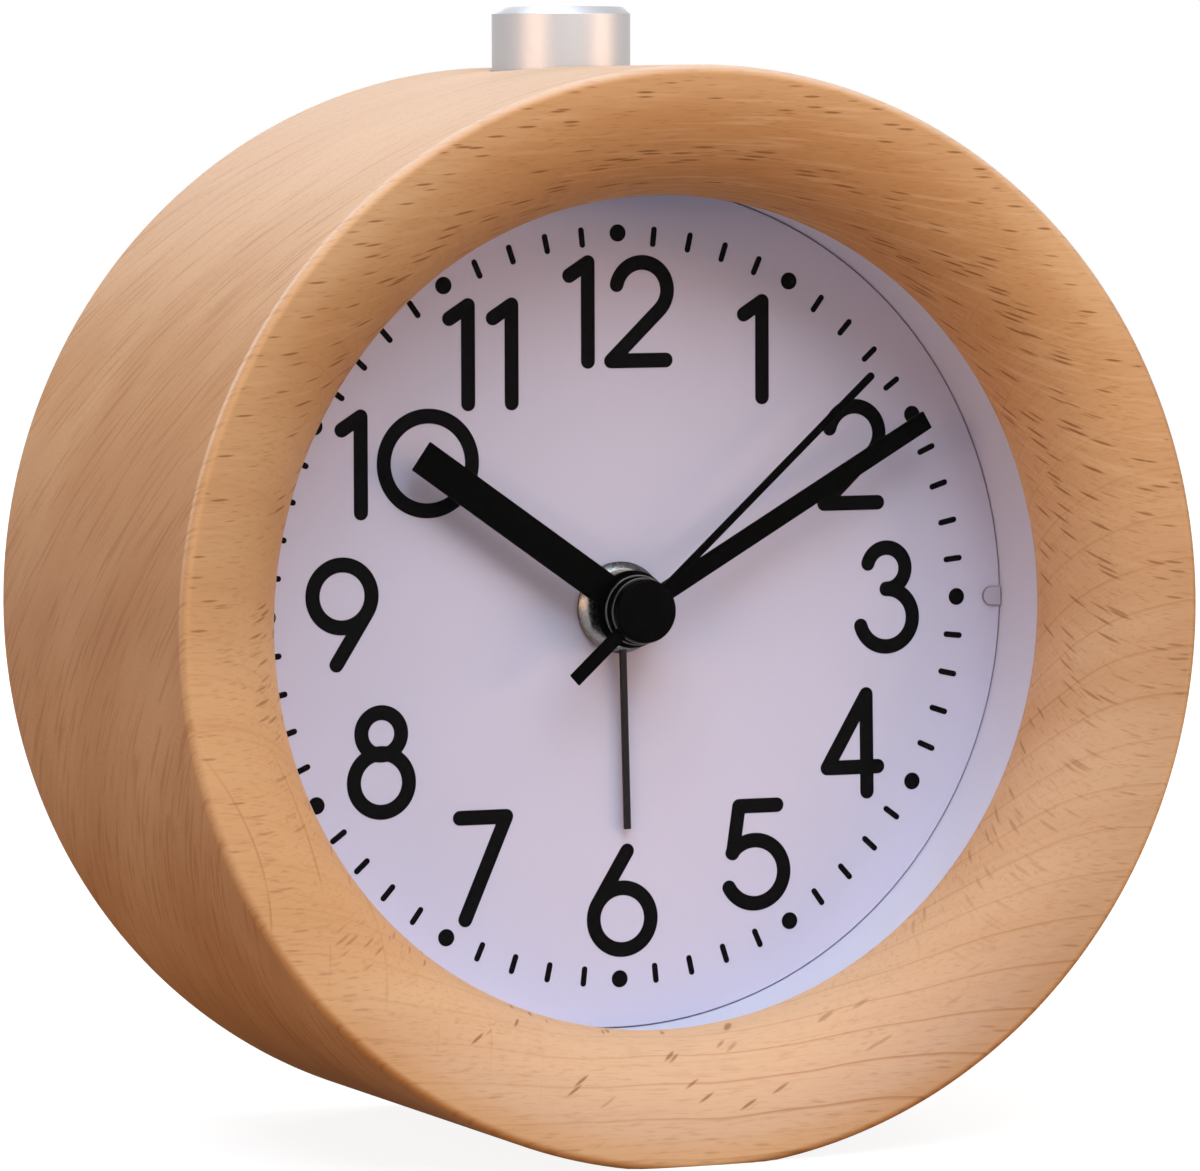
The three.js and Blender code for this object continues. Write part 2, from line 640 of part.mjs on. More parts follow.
// Movement plate behind the wheels
function movementPlate() {
  const xs = PLATE_SCREWS.map((at) => at.x);
  const zs = PLATE_SCREWS.map((at) => at.y);
  const low = CELL_Z + TRAY_HALF_H + CLEAR;
  const high = Math.max(ROTOR_POINT.y, SWITCH_RISE + SWITCH_H / 2, ...zs) + PLATE_MARGIN;
  const outline = roundedRectangle(
    Math.min(...xs) - PLATE_MARGIN,
    Math.max(...xs) + PLATE_MARGIN,
    low,
    high,
    PLATE_CORNER_R,
  );
  const through = (at, radius) => rodAt(at, radius, PLATE_FRONT - CLEAR, PLATE_REAR + CLEAR);
  const centre = new THREE.Vector2(0, 0);
  const arbors = [centre, THIRD_POINT, INTERMEDIATE_POINT, ROTOR_POINT];
  return cut(
    plate(outline, PLATE_FRONT, PLATE_REAR),
    ...arbors.map((at) => through(at, ARBOR_R + RUN)),
    ...[MOTION_POINT, ALARM_POINT].map((at) => through(at, SHAFT_R + RUN)),
    ...PLATE_SCREWS.map((at) => through(at, SCREW_R + RUN)),
  );
}

// Wheels: each arbor runs from the frame's floor to the movement plate
function secondWheel() {
  return join(
    gear(TEETH.secondWheel, SECOND_MODULE, INTERMEDIATE_ANGLE, "second"),
    gear(TEETH.secondPinion, THIRD_MODULE, gapTowards(THIRD_ANGLE, TEETH.secondPinion), "third"),
    rod(ARBOR_R, SECOND_FRONT + SECOND_T / 2, PIVOT_REAR),
    rod(MINUTE_TUBE_R, levelFront("third"), levelRear("second")),
  );
}

// A hand tube: its wheels joined to a sleeve that reaches forward to its hand
function tubeWheel(wheels, bore, outer, front, rear) {
  const sleeve = rod(outer, front, rear);
  return cut(join(sleeve, ...wheels), rod(bore, front - CLEAR, rear + CLEAR));
}

function centreWheel() {
  const wheels = [
    gear(TEETH.centreWheel, CENTRE_MODULE, THIRD_ANGLE, "centre"),
    gear(TEETH.cannonPinion, MOTION_MODULE, gapTowards(MOTION_ANGLE, TEETH.cannonPinion), "motion"),
    rod(MINUTE_TUBE_R + TUBE_WALL, levelFront("motion"), levelRear("centre")),
  ];
  return tubeWheel(wheels, ARBOR_R + RUN, MINUTE_TUBE_R, MINUTE_FRONT, levelRear("centre"));
}

function hourWheel() {
  const wheels = [gear(TEETH.hourWheel, MOTION_MODULE, MOTION_ANGLE, "hour")];
  return tubeWheel(wheels, MINUTE_TUBE_R + RUN, HOUR_TUBE_R, HOUR_FRONT, levelRear("hour"));
}

function alarmWheel() {
  const wheels = [gear(TEETH.alarmWheel, ALARM_MODULE, ALARM_ANGLE, "alarm")];
  return tubeWheel(wheels, HOUR_TUBE_R + RUN, ALARM_TUBE_R, ALARM_HUB_FRONT, levelRear("alarm"));
}

function thirdWheel() {
  const back = THIRD_ANGLE + 180;
  return join(
    gear(TEETH.thirdWheel, THIRD_MODULE, back, "third"),
    gear(TEETH.thirdPinion, CENTRE_MODULE, gapTowards(back, TEETH.thirdPinion), "centre"),
    rod(SHAFT_R, levelFront("centre"), levelRear("third")),
    rod(ARBOR_R, PIVOT_FRONT, PIVOT_REAR),
  );
}

function intermediateWheel() {
  const back = INTERMEDIATE_ANGLE + 180;
  return join(
    gear(TEETH.intermediateWheel, ROTOR_MODULE, ROTOR_ANGLE, "intermediate"),
    gear(TEETH.intermediatePinion, SECOND_MODULE, gapTowards(back, TEETH.intermediatePinion), "second"),
    rod(SHAFT_R, levelFront("second"), levelRear("intermediate")),
    rod(ARBOR_R, PIVOT_FRONT, PIVOT_REAR),
  );
}

// The rotor's magnet sits in the stator's hole, and its pinion behind it
function rotorPinion() {
  const back = ROTOR_ANGLE + 180;
  return join(
    gear(TEETH.rotorPinion, ROTOR_MODULE, gapTowards(back, TEETH.rotorPinion), "intermediate"),
    rod(ARBOR_R, PIVOT_FRONT, PIVOT_REAR),
  );
}

function rotorMagnet() {
  const front = MAGNET_FRONT;
  const rear = front + MAGNET_T;
  const bore = ARBOR_R + SEAT;
  return turned([[bore, front], [MAGNET_R, front], [MAGNET_R, rear], [bore, rear]], SIDES_MEDIUM);
}

// Shafts of the two set knobs
function minuteWheel() {
  const back = MOTION_ANGLE + 180;
  return join(
    gear(TEETH.minuteWheel, MOTION_MODULE, back, "motion"),
    gear(TEETH.minutePinion, MOTION_MODULE, gapTowards(back, TEETH.minutePinion), "hour"),
    rod(SHAFT_R, levelFront("hour"), KNOB_FRONT + KNOB_GRIP),
    rod(ARBOR_R, PIVOT_FRONT, levelRear("hour")),
  );
}

function alarmSetWheel() {
  const back = ALARM_ANGLE + 180;
  return join(
    gear(TEETH.alarmPinion, ALARM_MODULE, gapTowards(back, TEETH.alarmPinion), "alarm"),
    rod(SHAFT_R, levelFront("alarm"), KNOB_FRONT + KNOB_GRIP),
    rod(ARBOR_R, PIVOT_FRONT, levelRear("alarm")),
  );
}

function setKnob() {
  const points = [];
  for (let k = 0; k < KNOB_RIBS; k += 1) {
    const pitch = 360 / KNOB_RIBS;
    const outer = KNOB_D / 2 - KNOB_BEVEL;
    const groove = k + 1 / 2;
    points.push(polar(outer, k * pitch));
    points.push(polar(outer, (k + KNOB_RIB_SHARE) * pitch));
    points.push(polar(outer - KNOB_RIB, groove * pitch));
    points.push(polar(outer - KNOB_RIB, (groove + KNOB_RIB_SHARE) * pitch));
  }
  const body = plate(new THREE.Shape(points), KNOB_FRONT + KNOB_BEVEL, KNOB_FRONT + KNOB_L - KNOB_BEVEL, {
    bevelEnabled: true,
    bevelThickness: KNOB_BEVEL,
    bevelSize: KNOB_BEVEL,
    bevelSegments: 1,
  });
  return cut(body, rod(SHAFT_R + SEAT, KNOB_FRONT - CLEAR, KNOB_FRONT + KNOB_GRIP + CLEAR));
}

// Hands point to 12 here, and are turned where they are placed
function handBar(width, from, to, front, rear) {
  return box(-width / 2, width / 2, front, rear, from, to);
}

function hourHand() {
  const solid = join(
    handBar(HOUR_W, 0, HOUR_L, HOUR_FRONT, HOUR_REAR),
    rod(HOUR_HUB_R, HOUR_FRONT, HOUR_REAR, SIDES_MEDIUM),
    rod(HOUR_BUSH_R, HOUR_FRONT, HOUR_REAR + HOUR_BUSH_T, SIDES_MEDIUM),
  );
  return cut(solid, rod(HOUR_TUBE_R + SEAT, HOUR_FRONT - CLEAR, DIAL_FACE, SIDES_MEDIUM));
}

function minuteHand() {
  const solid = join(
    handBar(MINUTE_W, 0, MINUTE_L, MINUTE_FRONT, MINUTE_REAR),
    rod(MINUTE_HUB_R, MINUTE_FRONT, MINUTE_REAR, SIDES_MEDIUM),
    rod(MINUTE_BUSH_R, MINUTE_FRONT, MINUTE_REAR + MINUTE_BUSH_T, SIDES_MEDIUM),
  );
  return cut(solid, rod(MINUTE_TUBE_R + SEAT, MINUTE_FRONT - CLEAR, DIAL_FACE, SIDES_MEDIUM));
}

function secondHand() {
  const tip = new THREE.Vector2(0, SECOND_L - SECOND_W / 2);
  const solid = join(
    handBar(SECOND_W, 0, tip.y, SECOND_FRONT, SECOND_REAR),
    rodAt(tip, SECOND_W / 2, SECOND_FRONT, SECOND_REAR),
    handBar(TAIL_W, -TAIL_L, 0, SECOND_FRONT, SECOND_REAR),
    rod(SECOND_HUB_R, SECOND_FRONT, SECOND_REAR, SIDES_MEDIUM),
    rod(SECOND_BUSH_R, SECOND_FRONT, SECOND_REAR + SECOND_BUSH_T, SIDES_MEDIUM),
  );
  return cut(solid, rod(ARBOR_R + SEAT, SECOND_FRONT - CLEAR, DIAL_FACE));
}

function secondCap() {
  const front = CAP_REAR - CAP_T;
  return turned(
    [
      [0, CAP_REAR],
      [CAP_R, CAP_REAR],
      ...arc([CAP_R - CAP_ROUND, front + CAP_ROUND], CAP_ROUND, 0, -90),
      [0, front],
    ],
    SIDES_MEDIUM,
  );
}

function alarmHand() {
  const bore = ALARM_TUBE_R + SEAT;
  const hub = turned(
    [
      [bore, ALARM_HUB_REAR],
      [ALARM_HUB_R, ALARM_HUB_REAR],
      [ALARM_HUB_R - ALARM_HUB_BEVEL, ALARM_HUB_FRONT],
      [bore, ALARM_HUB_FRONT],
    ],
    SIDES_MEDIUM,
  );
  const barRear = (ALARM_HUB_REAR + ALARM_HUB_FRONT + HAND_T) / 2;
  const inside = (bore + ALARM_HUB_R - ALARM_HUB_BEVEL) / 2;
  return join(hub, handBar(ALARM_HAND_W, inside, ALARM_HAND_L, barRear - HAND_T, barRear));
}

// Snooze button and what carries it
function snoozeButton() {
  const groove = STEM_R - GROOVE_DEPTH;
  return turnedUpright(
    [
      [0, BUTTON_TOP],
      [BUTTON_R - BUTTON_CHAMFER, BUTTON_TOP],
      [BUTTON_R, BUTTON_TOP - BUTTON_CHAMFER],
      [BUTTON_R, SKIRT_END],
      [BUTTON_R - BUTTON_WALL, SKIRT_END],
      [BUTTON_R - BUTTON_WALL, BUTTON_CEILING],
      [STEM_R, BUTTON_CEILING],
      [STEM_R, CLIP_TOP + SEAT],
      [groove, CLIP_TOP + SEAT],
      [groove, CLIP_END - SEAT],
      [STEM_R, CLIP_END - SEAT],
      [STEM_R, STEM_END],
      [0, STEM_END],
    ],
    SIDES_MEDIUM,
  );
}

const uprightRing = (inner, outer, low, high) =>
  turnedUpright([[inner, low], [outer, low], [outer, high], [inner, high]], SIDES_MEDIUM);

const snoozeGuide = () => uprightRing(STEM_R + RUN, BUTTON_HOLE_R - SEAT * 2, GUIDE_END, GUIDE_TOP);

const snoozeClip = () => uprightRing(STEM_R - GROOVE_DEPTH + SEAT * 2, CLIP_R, CLIP_END, CLIP_TOP);

function snoozeSpring() {
  const ease = SPRING_WIRE_R + SEAT;
  const points = coil(SPRING_TURNS, SPRING_R, SPRING_R, GUIDE_TOP + ease, BUTTON_CEILING - ease);
  return wire(points, SPRING_WIRE_R).rotateX(Math.PI / 2);
}

function snoozeContact() {
  const rear = BOARD_FRONT + BOARD_T + SEAT;
  const half = LEAF_W / 2;
  const top = BOARD_LOW + BOARD_H;
  return join(
    box(-half, half, rear, rear + LEAF_T, top - LEAF_FOOT, LEAF_TOP),
    box(-half, half, rear, BUTTON_Y + STEM_R, LEAF_TOP - LEAF_T, LEAF_TOP),
  );
}

// Circuit board, chip, crystal and buzzer
function boardPosts() {
  const z = BOARD_LOW + BOARD_H / 2;
  return [BOARD_LEFT + BOARD_POST_INSET, BOARD_RIGHT - BOARD_POST_INSET].map(
    (x) => new THREE.Vector2(x, z),
  );
}

function circuitBoard() {
  const outline = roundedRectangle(
    BOARD_LEFT,
    BOARD_RIGHT,
    BOARD_LOW,
    BOARD_LOW + BOARD_H,
    BOARD_CORNER_R,
  );
  const front = BOARD_FRONT;
  const holes = boardPosts().map((at) =>
    rodAt(at, BOARD_PEG_R + RUN, front - CLEAR, front + BOARD_T + CLEAR),
  );
  return cut(plate(outline, front, front + BOARD_T), ...holes);
}

function chip() {
  const seat = BOARD_FRONT + BOARD_T + SEAT;
  return turned(
    [[0, seat], [CHIP_R, seat], [CHIP_SHOULDER_R, seat + CHIP_SHOULDER_T], [0, seat + CHIP_T]],
    SIDES_SMALL,
  );
}

const crystal = () =>
  turnedSideways(
    [[0, 0], [CRYSTAL_R, 0], [CRYSTAL_R, CRYSTAL_L], [0, CRYSTAL_L]],
    SIDES_SMALL,
  );

function buzzer() {
  const front = FLOOR_REAR + SEAT;
  const rear = front + BUZZER_T;
  const well = rear - BUZZER_T / 2;
  return turned(
    [
      [0, front],
      [BUZZER_R, front],
      [BUZZER_R, rear],
      [BUZZER_HOLE_R, rear],
      [BUZZER_HOLE_R, well],
      [0, well],
    ],
    SIDES_MEDIUM,
  );
}

// Motor
function stator() {
  const legTop = COIL_Z + CORE_H / 2;
  const barTop = ROTOR_POINT.y + STATOR_ARM;
  const shape = new THREE.Shape();
  shape.moveTo(STATOR_LEFT, STATOR_LOW);
  shape.lineTo(STATOR_RIGHT, STATOR_LOW);
  shape.lineTo(STATOR_RIGHT, legTop);
  shape.lineTo(STATOR_RIGHT - STATOR_LEG, legTop);
  shape.lineTo(STATOR_RIGHT - STATOR_LEG, barTop);
  shape.lineTo(STATOR_LEFT + STATOR_LEG, barTop);
  shape.lineTo(STATOR_LEFT + STATOR_LEG, legTop);
  shape.lineTo(STATOR_LEFT, legTop);
  const hole = new THREE.Path();
  hole.absarc(ROTOR_POINT.x, ROTOR_POINT.y, MAGNET_R + STATOR_GAP, 0, 2 * Math.PI);
  shape.holes.push(hole);
  return plate(shape, STATOR_FRONT, STATOR_FRONT + STATOR_T);
}

function coilCore() {
  const half = CORE_H / 2;
  return box(STATOR_LEFT, STATOR_RIGHT, CORE_REAR - CORE_T, CORE_REAR, COIL_Z - half, COIL_Z + half);
}

const placeCoil = (geometry) => geometry.translate(0, CORE_REAR - CORE_T / 2, COIL_Z);

function coilBobbin() {
  const tube = BOBBIN_BORE_R + BOBBIN_WALL;
  return placeCoil(
    turnedSideways([
      [BOBBIN_BORE_R, COIL_START],
      [BOBBIN_FLANGE_R, COIL_START],
      [BOBBIN_FLANGE_R, COIL_START + BOBBIN_FLANGE_T],
      [tube, COIL_START + BOBBIN_FLANGE_T],
      [tube, COIL_END - BOBBIN_FLANGE_T],
      [BOBBIN_FLANGE_R, COIL_END - BOBBIN_FLANGE_T],
      [BOBBIN_FLANGE_R, COIL_END],
      [BOBBIN_BORE_R, COIL_END],
    ]),
  );
}

function coilWinding() {
  const inner = BOBBIN_BORE_R + BOBBIN_WALL + SEAT;
  const start = COIL_START + BOBBIN_FLANGE_T + SEAT;
  const end = COIL_END - BOBBIN_FLANGE_T - SEAT;
  return placeCoil(turnedSideways([[inner, start], [WINDING_R, start], [WINDING_R, end], [inner, end]]));
}

// Rear cover
function rearCover() {
  const through = (at, radius) => rodAt(at, radius, COVER_FRONT - CLEAR, COVER_REAR + CLEAR);
  const opening = box(
    -DOOR_HALF_W,
    DOOR_HALF_W,
    COVER_FRONT - CLEAR,
    COVER_REAR + CLEAR,
    DOOR_LOW,
    DOOR_HIGH,
  );
  const reach = DOOR_HALF_W + DOOR_PIN_L;
  const pinHole = rodSideways(DOOR_PIN_R + RUN, -reach, reach);
  const slotHalf = SWITCH_W / 2 + SWITCH_TRAVEL / 2 + SWITCH_SLOT_GAP;
  const slotRise = SWITCH_H / 2 + SWITCH_SLOT_GAP;
  const slot = box(
    -slotHalf,
    slotHalf,
    COVER_FRONT - CLEAR,
    COVER_REAR + CLEAR,
    SWITCH_RISE - slotRise,
    SWITCH_RISE + slotRise,
  );
  const sound = [BUZZER_POINT];
  for (let k = 0; k < SOUND_HOLES; k += 1) {
    sound.push(BUZZER_POINT.clone().add(polar(SOUND_HOLE_PITCH, (k * 360) / SOUND_HOLES)));
  }
  return cut(
    rod(INSERT_R, COVER_FRONT, COVER_REAR, SIDES_LARGE),
    opening,
    pinHole,
    slot,
    ...[MOTION_POINT, ALARM_POINT].map((at) => through(at, SHAFT_R + RUN * 2)),
    ...COVER_SCREWS.map((at) => through(at, SCREW_R + RUN)),
    ...sound.map((at) => through(at, SOUND_HOLE_R)),
  );
}

function rodSideways(radius, from, to) {
  return turnedSideways([[0, from], [radius, from], [radius, to], [0, to]], SIDES_SMALL).translate(
    0,
    DOOR_Y,
    DOOR_HINGE_Z,
  );
}

// Battery tray, cell, contacts and door
function batteryTray() {
  const outer = box(
    -TRAY_HALF_L,
    TRAY_HALF_L,
    TRAY_FRONT,
    TRAY_REAR,
    CELL_Z - TRAY_HALF_H,
    CELL_Z + TRAY_HALF_H,
  );
  const inner = box(
    TRAY_WALL - TRAY_HALF_L,
    TRAY_HALF_L - TRAY_WALL,
    TRAY_FRONT + TRAY_WALL,
    TRAY_REAR + CLEAR,
    CELL_Z - TRAY_HALF_H + TRAY_WALL,
    CELL_Z + TRAY_HALF_H - TRAY_WALL,
  );
  return cut(outer, inner);
}

function batteryCell() {
  const radius = CELL_D / 2;
  const half = CELL_L / 2;
  const edge = TRAY_GAP;
  return turnedSideways([
    [0, -half],
    [radius - edge, -half],
    [radius, edge - half],
    [radius, half - NUB_L - edge],
    [radius - edge, half - NUB_L],
    [NUB_R, half - NUB_L],
    [NUB_R, half],
    [0, half],
  ]).translate(0, CELL_Y, CELL_Z);
}

function contactPlate(side) {
  const wall = side * (TRAY_HALF_L - TRAY_WALL - SEAT);
  const inner = wall - side * CONTACT_T;
  const half = CONTACT_W / 2;
  return box(
    Math.min(wall, inner),
    Math.max(wall, inner),
    CELL_Y - half,
    CELL_Y + half,
    CELL_Z - half,
    CELL_Z + half,
  );
}

function positiveContact() {
  const end = CELL_L / 2 + SEAT;
  const wall = TRAY_HALF_L - TRAY_WALL - SEAT;
  const dimple = turnedSideways([[0, end], [NUB_R, end], [NUB_R, wall], [0, wall]], SIDES_SMALL);
  return join(contactPlate(1), dimple.translate(0, CELL_Y, CELL_Z));
}

function negativeContact() {
  const start = TRAY_HALF_L - TRAY_WALL - SEAT - CONTACT_T;
  const end = CELL_L / 2 + CONTACT_WIRE_R + SEAT;
  const points = coil(CONTACT_TURNS, CONTACT_OUTER_R, CONTACT_INNER_R, -start, -end);
  const spring = wire(points, CONTACT_WIRE_R).rotateZ(-Math.PI / 2).translate(0, CELL_Y, CELL_Z);
  return join(contactPlate(-1), spring);
}

function batteryDoor() {
  const half = COVER_T / 2;
  const width = DOOR_HALF_W - DOOR_GAP;
  const top = DOOR_HIGH - DOOR_GAP;
  const slab = box(-width, width, DOOR_Y - half, DOOR_Y + half, DOOR_HINGE_Z, top);
  const edge = rodSideways(half, -width, width);
  const reach = DOOR_HALF_W + DOOR_PIN_L - RUN;
  const pins = rodSideways(DOOR_PIN_R, -reach, reach);
  const grip = rodAt(new THREE.Vector2(0, top), DOOR_GRIP_R, DOOR_Y, DOOR_Y + COVER_T, SIDES_MEDIUM);
  return cut(join(slab, edge, pins), grip);
}

// Alarm switch: the slider stands at the end of its slot, and slides to +X
function alarmSlider() {
  const middle = -SWITCH_TRAVEL / 2;
  const half = SWITCH_W / 2;
  const rise = SWITCH_H / 2;
  const baseRear = COVER_FRONT - SLIP;
  const base = half + SWITCH_BASE_RIM + SWITCH_TRAVEL / 2;
  const baseRise = rise + SWITCH_BASE_RIM;
  return join(
    box(
      middle - base,
      middle + base,
      baseRear - SWITCH_BASE_T,
      baseRear,
      SWITCH_RISE - baseRise,
      SWITCH_RISE + baseRise,
    ),
    box(
      middle - half,
      middle + half,
      baseRear - SWITCH_BASE_T,
      COVER_REAR + SWITCH_PROUD,
      SWITCH_RISE - rise,
      SWITCH_RISE + rise,
    ),
  );
}

function alarmSwitchBody() {
  const half = SWITCH_W / 2 + SWITCH_BASE_RIM + SWITCH_TRAVEL + SWITCH_BODY_RIM;
  const rise = SWITCH_H / 2 + SWITCH_BASE_RIM + SWITCH_BODY_RIM;
  const rear = COVER_FRONT - SLIP - SWITCH_BASE_T - SLIP;
  return box(-half, half, PLATE_REAR + SEAT, rear, SWITCH_RISE - rise, SWITCH_RISE + rise);
}

// Materials
const finish = (color, roughness, metalness = 0) =>
  new THREE.MeshStandardMaterial({ color, roughness, metalness });

const WOOD = finish(0xcd9b69, 0.55);
const CLEAR_PLASTIC = finish(0xf4f6f8, 0.05);
const WHITE_PLASTIC = finish(0xdcd7e2, 0.5);
const DIAL_WHITE = finish(0xd8d3de, 0.6);
const BLACK_METAL = finish(0x0c0c0e, 0.35);
const BLACK_PLASTIC = finish(0x1b1b1d, 0.5);
const NICKEL = finish(0xb9b6b2, 0.3, 1);
const SATIN_SILVER = finish(0xc8c4c3, 0.38, 0.9);
const STEEL = finish(0x9c9da0, 0.35, 1);
const BRASS = finish(0xc9a352, 0.35, 1);
const GEAR_PLASTIC = finish(0xe9e4d6, 0.45);
const COPPER = finish(0xb4653a, 0.4, 1);
const BOARD_GREEN = finish(0x2f5a3c, 0.5);
const CELL_SLEEVE = finish(0x3b4046, 0.4);

// The object: the movement's centre is the middle of the dial
const group = new THREE.Group();
const clock = new THREE.Group();
clock.position.set(0, 0, AXIS_Z);
group.add(clock);

function add(name, geometry, material, place = {}) {
  const mesh = new THREE.Mesh(geometry, material);
  mesh.name = name;
  mesh.position.set(place.x ?? 0, place.y ?? 0, place.z ?? 0);
  mesh.rotation.y = radians(place.turn ?? 0);
  clock.add(mesh);
}

const at = (point) => ({ x: point.x, z: point.y });

add("wood_case", woodCase(), WOOD);
add("lens", lens(), CLEAR_PLASTIC);
add("dial", dial(), DIAL_WHITE);
add("dial_frame", dialFrame(), WHITE_PLASTIC);
add("movement_plate", movementPlate(), GEAR_PLASTIC);
PLATE_SCREWS.forEach((point, i) => {
  add(`movement_screw_${i + 1}`, screw(PLATE_FRONT, PLATE_T), STEEL, at(point));
});

add("second_wheel", secondWheel(), GEAR_PLASTIC);
add("centre_wheel", centreWheel(), BRASS);
add("hour_wheel", hourWheel(), GEAR_PLASTIC);
add("alarm_wheel", alarmWheel(), GEAR_PLASTIC);
add("third_wheel", thirdWheel(), GEAR_PLASTIC, at(THIRD_POINT));
add("intermediate_wheel", intermediateWheel(), GEAR_PLASTIC, at(INTERMEDIATE_POINT));
add("rotor_pinion", rotorPinion(), GEAR_PLASTIC, at(ROTOR_POINT));
add("rotor_magnet", rotorMagnet(), STEEL, at(ROTOR_POINT));
add("minute_wheel", minuteWheel(), GEAR_PLASTIC, at(MOTION_POINT));
add("alarm_set_wheel", alarmSetWheel(), GEAR_PLASTIC, at(ALARM_POINT));
add("time_set_knob", setKnob(), BLACK_PLASTIC, at(MOTION_POINT));
add("alarm_set_knob", setKnob(), BLACK_PLASTIC, at(ALARM_POINT));

add("hour_hand", hourHand(), BLACK_METAL, { turn: HOUR_ANGLE });
add("minute_hand", minuteHand(), BLACK_METAL, { turn: MINUTE_ANGLE });
add("second_hand", secondHand(), BLACK_METAL, { turn: SECOND_ANGLE });
add("second_cap", secondCap(), BLACK_METAL);
add("alarm_hand", alarmHand(), NICKEL, { turn: ALARM_HAND_ANGLE });

add("snooze_button", snoozeButton(), SATIN_SILVER, { y: BUTTON_Y });
add("snooze_guide", snoozeGuide(), WHITE_PLASTIC, { y: BUTTON_Y });
add("snooze_clip", snoozeClip(), STEEL, { y: BUTTON_Y });
add("snooze_spring", snoozeSpring(), STEEL, { y: BUTTON_Y });
add("snooze_contact", snoozeContact(), BRASS);

add("circuit_board", circuitBoard(), BOARD_GREEN);
add("chip", chip(), BLACK_PLASTIC, { x: BOARD_LEFT + BOARD_W / 3, z: BOARD_LOW + BOARD_H / 2 });
add("quartz_crystal", crystal(), STEEL, {
  x: BOARD_LEFT + BOARD_W / 2,
  y: BOARD_FRONT + BOARD_T + SEAT + CRYSTAL_R,
  z: BOARD_LOW + CRYSTAL_R * 2,
});
add("buzzer", buzzer(), BLACK_PLASTIC, at(BUZZER_POINT));
add("stator", stator(), STEEL);
add("coil_core", coilCore(), STEEL);
add("coil_bobbin", coilBobbin(), WHITE_PLASTIC);
add("coil_winding", coilWinding(), COPPER);

add("rear_cover", rearCover(), BLACK_PLASTIC);
COVER_SCREWS.forEach((point, i) => {
  add(`cover_screw_${i + 1}`, screw(COVER_FRONT, COVER_T), STEEL, at(point));
});
add("battery_tray", batteryTray(), BLACK_PLASTIC);
add("battery_cell", batteryCell(), CELL_SLEEVE);
add("battery_contact_positive", positiveContact(), NICKEL);
add("battery_contact_negative", negativeContact(), NICKEL);
add("battery_door", batteryDoor(), BLACK_PLASTIC);
add("alarm_switch_slider", alarmSlider(), BLACK_PLASTIC);
add("alarm_switch_body", alarmSwitchBody(), STEEL);

export default group;
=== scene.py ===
# Looks of the round wooden alarm clock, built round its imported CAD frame.
# Metres in Blender; sizes here are millimetres, +Z up, the dial faces -Y.
import json
import math

import bmesh
import bpy
from mathutils import Matrix, Vector


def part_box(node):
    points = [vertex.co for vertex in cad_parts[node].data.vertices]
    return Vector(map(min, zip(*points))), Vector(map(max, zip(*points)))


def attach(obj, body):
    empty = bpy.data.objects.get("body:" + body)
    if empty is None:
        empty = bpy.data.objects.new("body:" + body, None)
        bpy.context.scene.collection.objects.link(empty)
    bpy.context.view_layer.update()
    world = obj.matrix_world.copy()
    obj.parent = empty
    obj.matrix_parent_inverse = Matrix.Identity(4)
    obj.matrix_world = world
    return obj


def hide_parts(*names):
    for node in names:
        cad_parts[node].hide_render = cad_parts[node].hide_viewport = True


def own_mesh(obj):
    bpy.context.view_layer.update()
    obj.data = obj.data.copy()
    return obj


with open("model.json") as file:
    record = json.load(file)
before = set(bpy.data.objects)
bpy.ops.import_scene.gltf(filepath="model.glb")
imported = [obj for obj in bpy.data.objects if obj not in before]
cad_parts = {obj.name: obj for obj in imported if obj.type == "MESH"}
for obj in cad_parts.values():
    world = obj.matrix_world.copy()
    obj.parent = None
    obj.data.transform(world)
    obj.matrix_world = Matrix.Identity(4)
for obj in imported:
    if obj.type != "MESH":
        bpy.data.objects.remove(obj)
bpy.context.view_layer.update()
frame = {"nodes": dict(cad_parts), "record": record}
NODES = frame["nodes"]
SCENE = bpy.context.scene
MM = 0.001

# Sizes, most of them shared with the solids; heights are from the middle of the dial
AXIS_Z = 49.5
CASE_R = 50.0
CASE_FRONT, CASE_REAR = -25.25, 25.25
FRONT_ROUND, REAR_ROUND = 0.85, 1.0
CREST_TURN = 93  # degrees of the front rounding, up to where the dished slope goes on smoothly
OPENING_R = 38.2
DISH_END = -15.85
DISH_BULGE = 2.1  # more than in the solid, from how the light runs across the front in the photograph
LIP_REAR = -15.35
LIP_ROUND = 0.2
BORE_R = 41.6
BORE_CHAMFER = 0.8
LENS_REAR = -13.8
DIAL_FACE, DIAL_REAR = -5.35, -4.85
DIAL_R, DIAL_HOLE_R = 39.1, 3.75
PEG_AT, PEG_SLOT_R, PEG_CAP_R = 38.15, 0.92, 0.86
FRAME_BORE_R = 39.3
BUTTON_R, BUTTON_HOLE_R = 6.5, 6.7
BUTTON_Y = 8.15
BUTTON_TOP, BUTTON_SKIRT = 55.6, 47.0
COVER_R = 41.4
COVER_FRONT, COVER_REAR = 15.25, 17.25
KNOB_FRONT, KNOB_REAR = 17.7, 23.9
KNOB_R = 6.0
TIME_X, ALARM_X = 13.114, -14.4
DOOR_HALF_W = 26.8
DOOR_TOP, DOOR_HINGE_Z, DOOR_Y = -14.06, -27.664, 16.25
CELL_R, CELL_HALF_L, CELL_NUB_R, CELL_NUB_L = 7.25, 25.25, 2.6, 1.2
SWITCH_Z = 19.5
SOUND_POINT = (-30.1, 4.2)

# Hands: angle clockwise from 12, seen from the front
HOUR_ANGLE, MINUTE_ANGLE, SECOND_ANGLE, ALARM_ANGLE = 305, 60, 47.5, 178.6

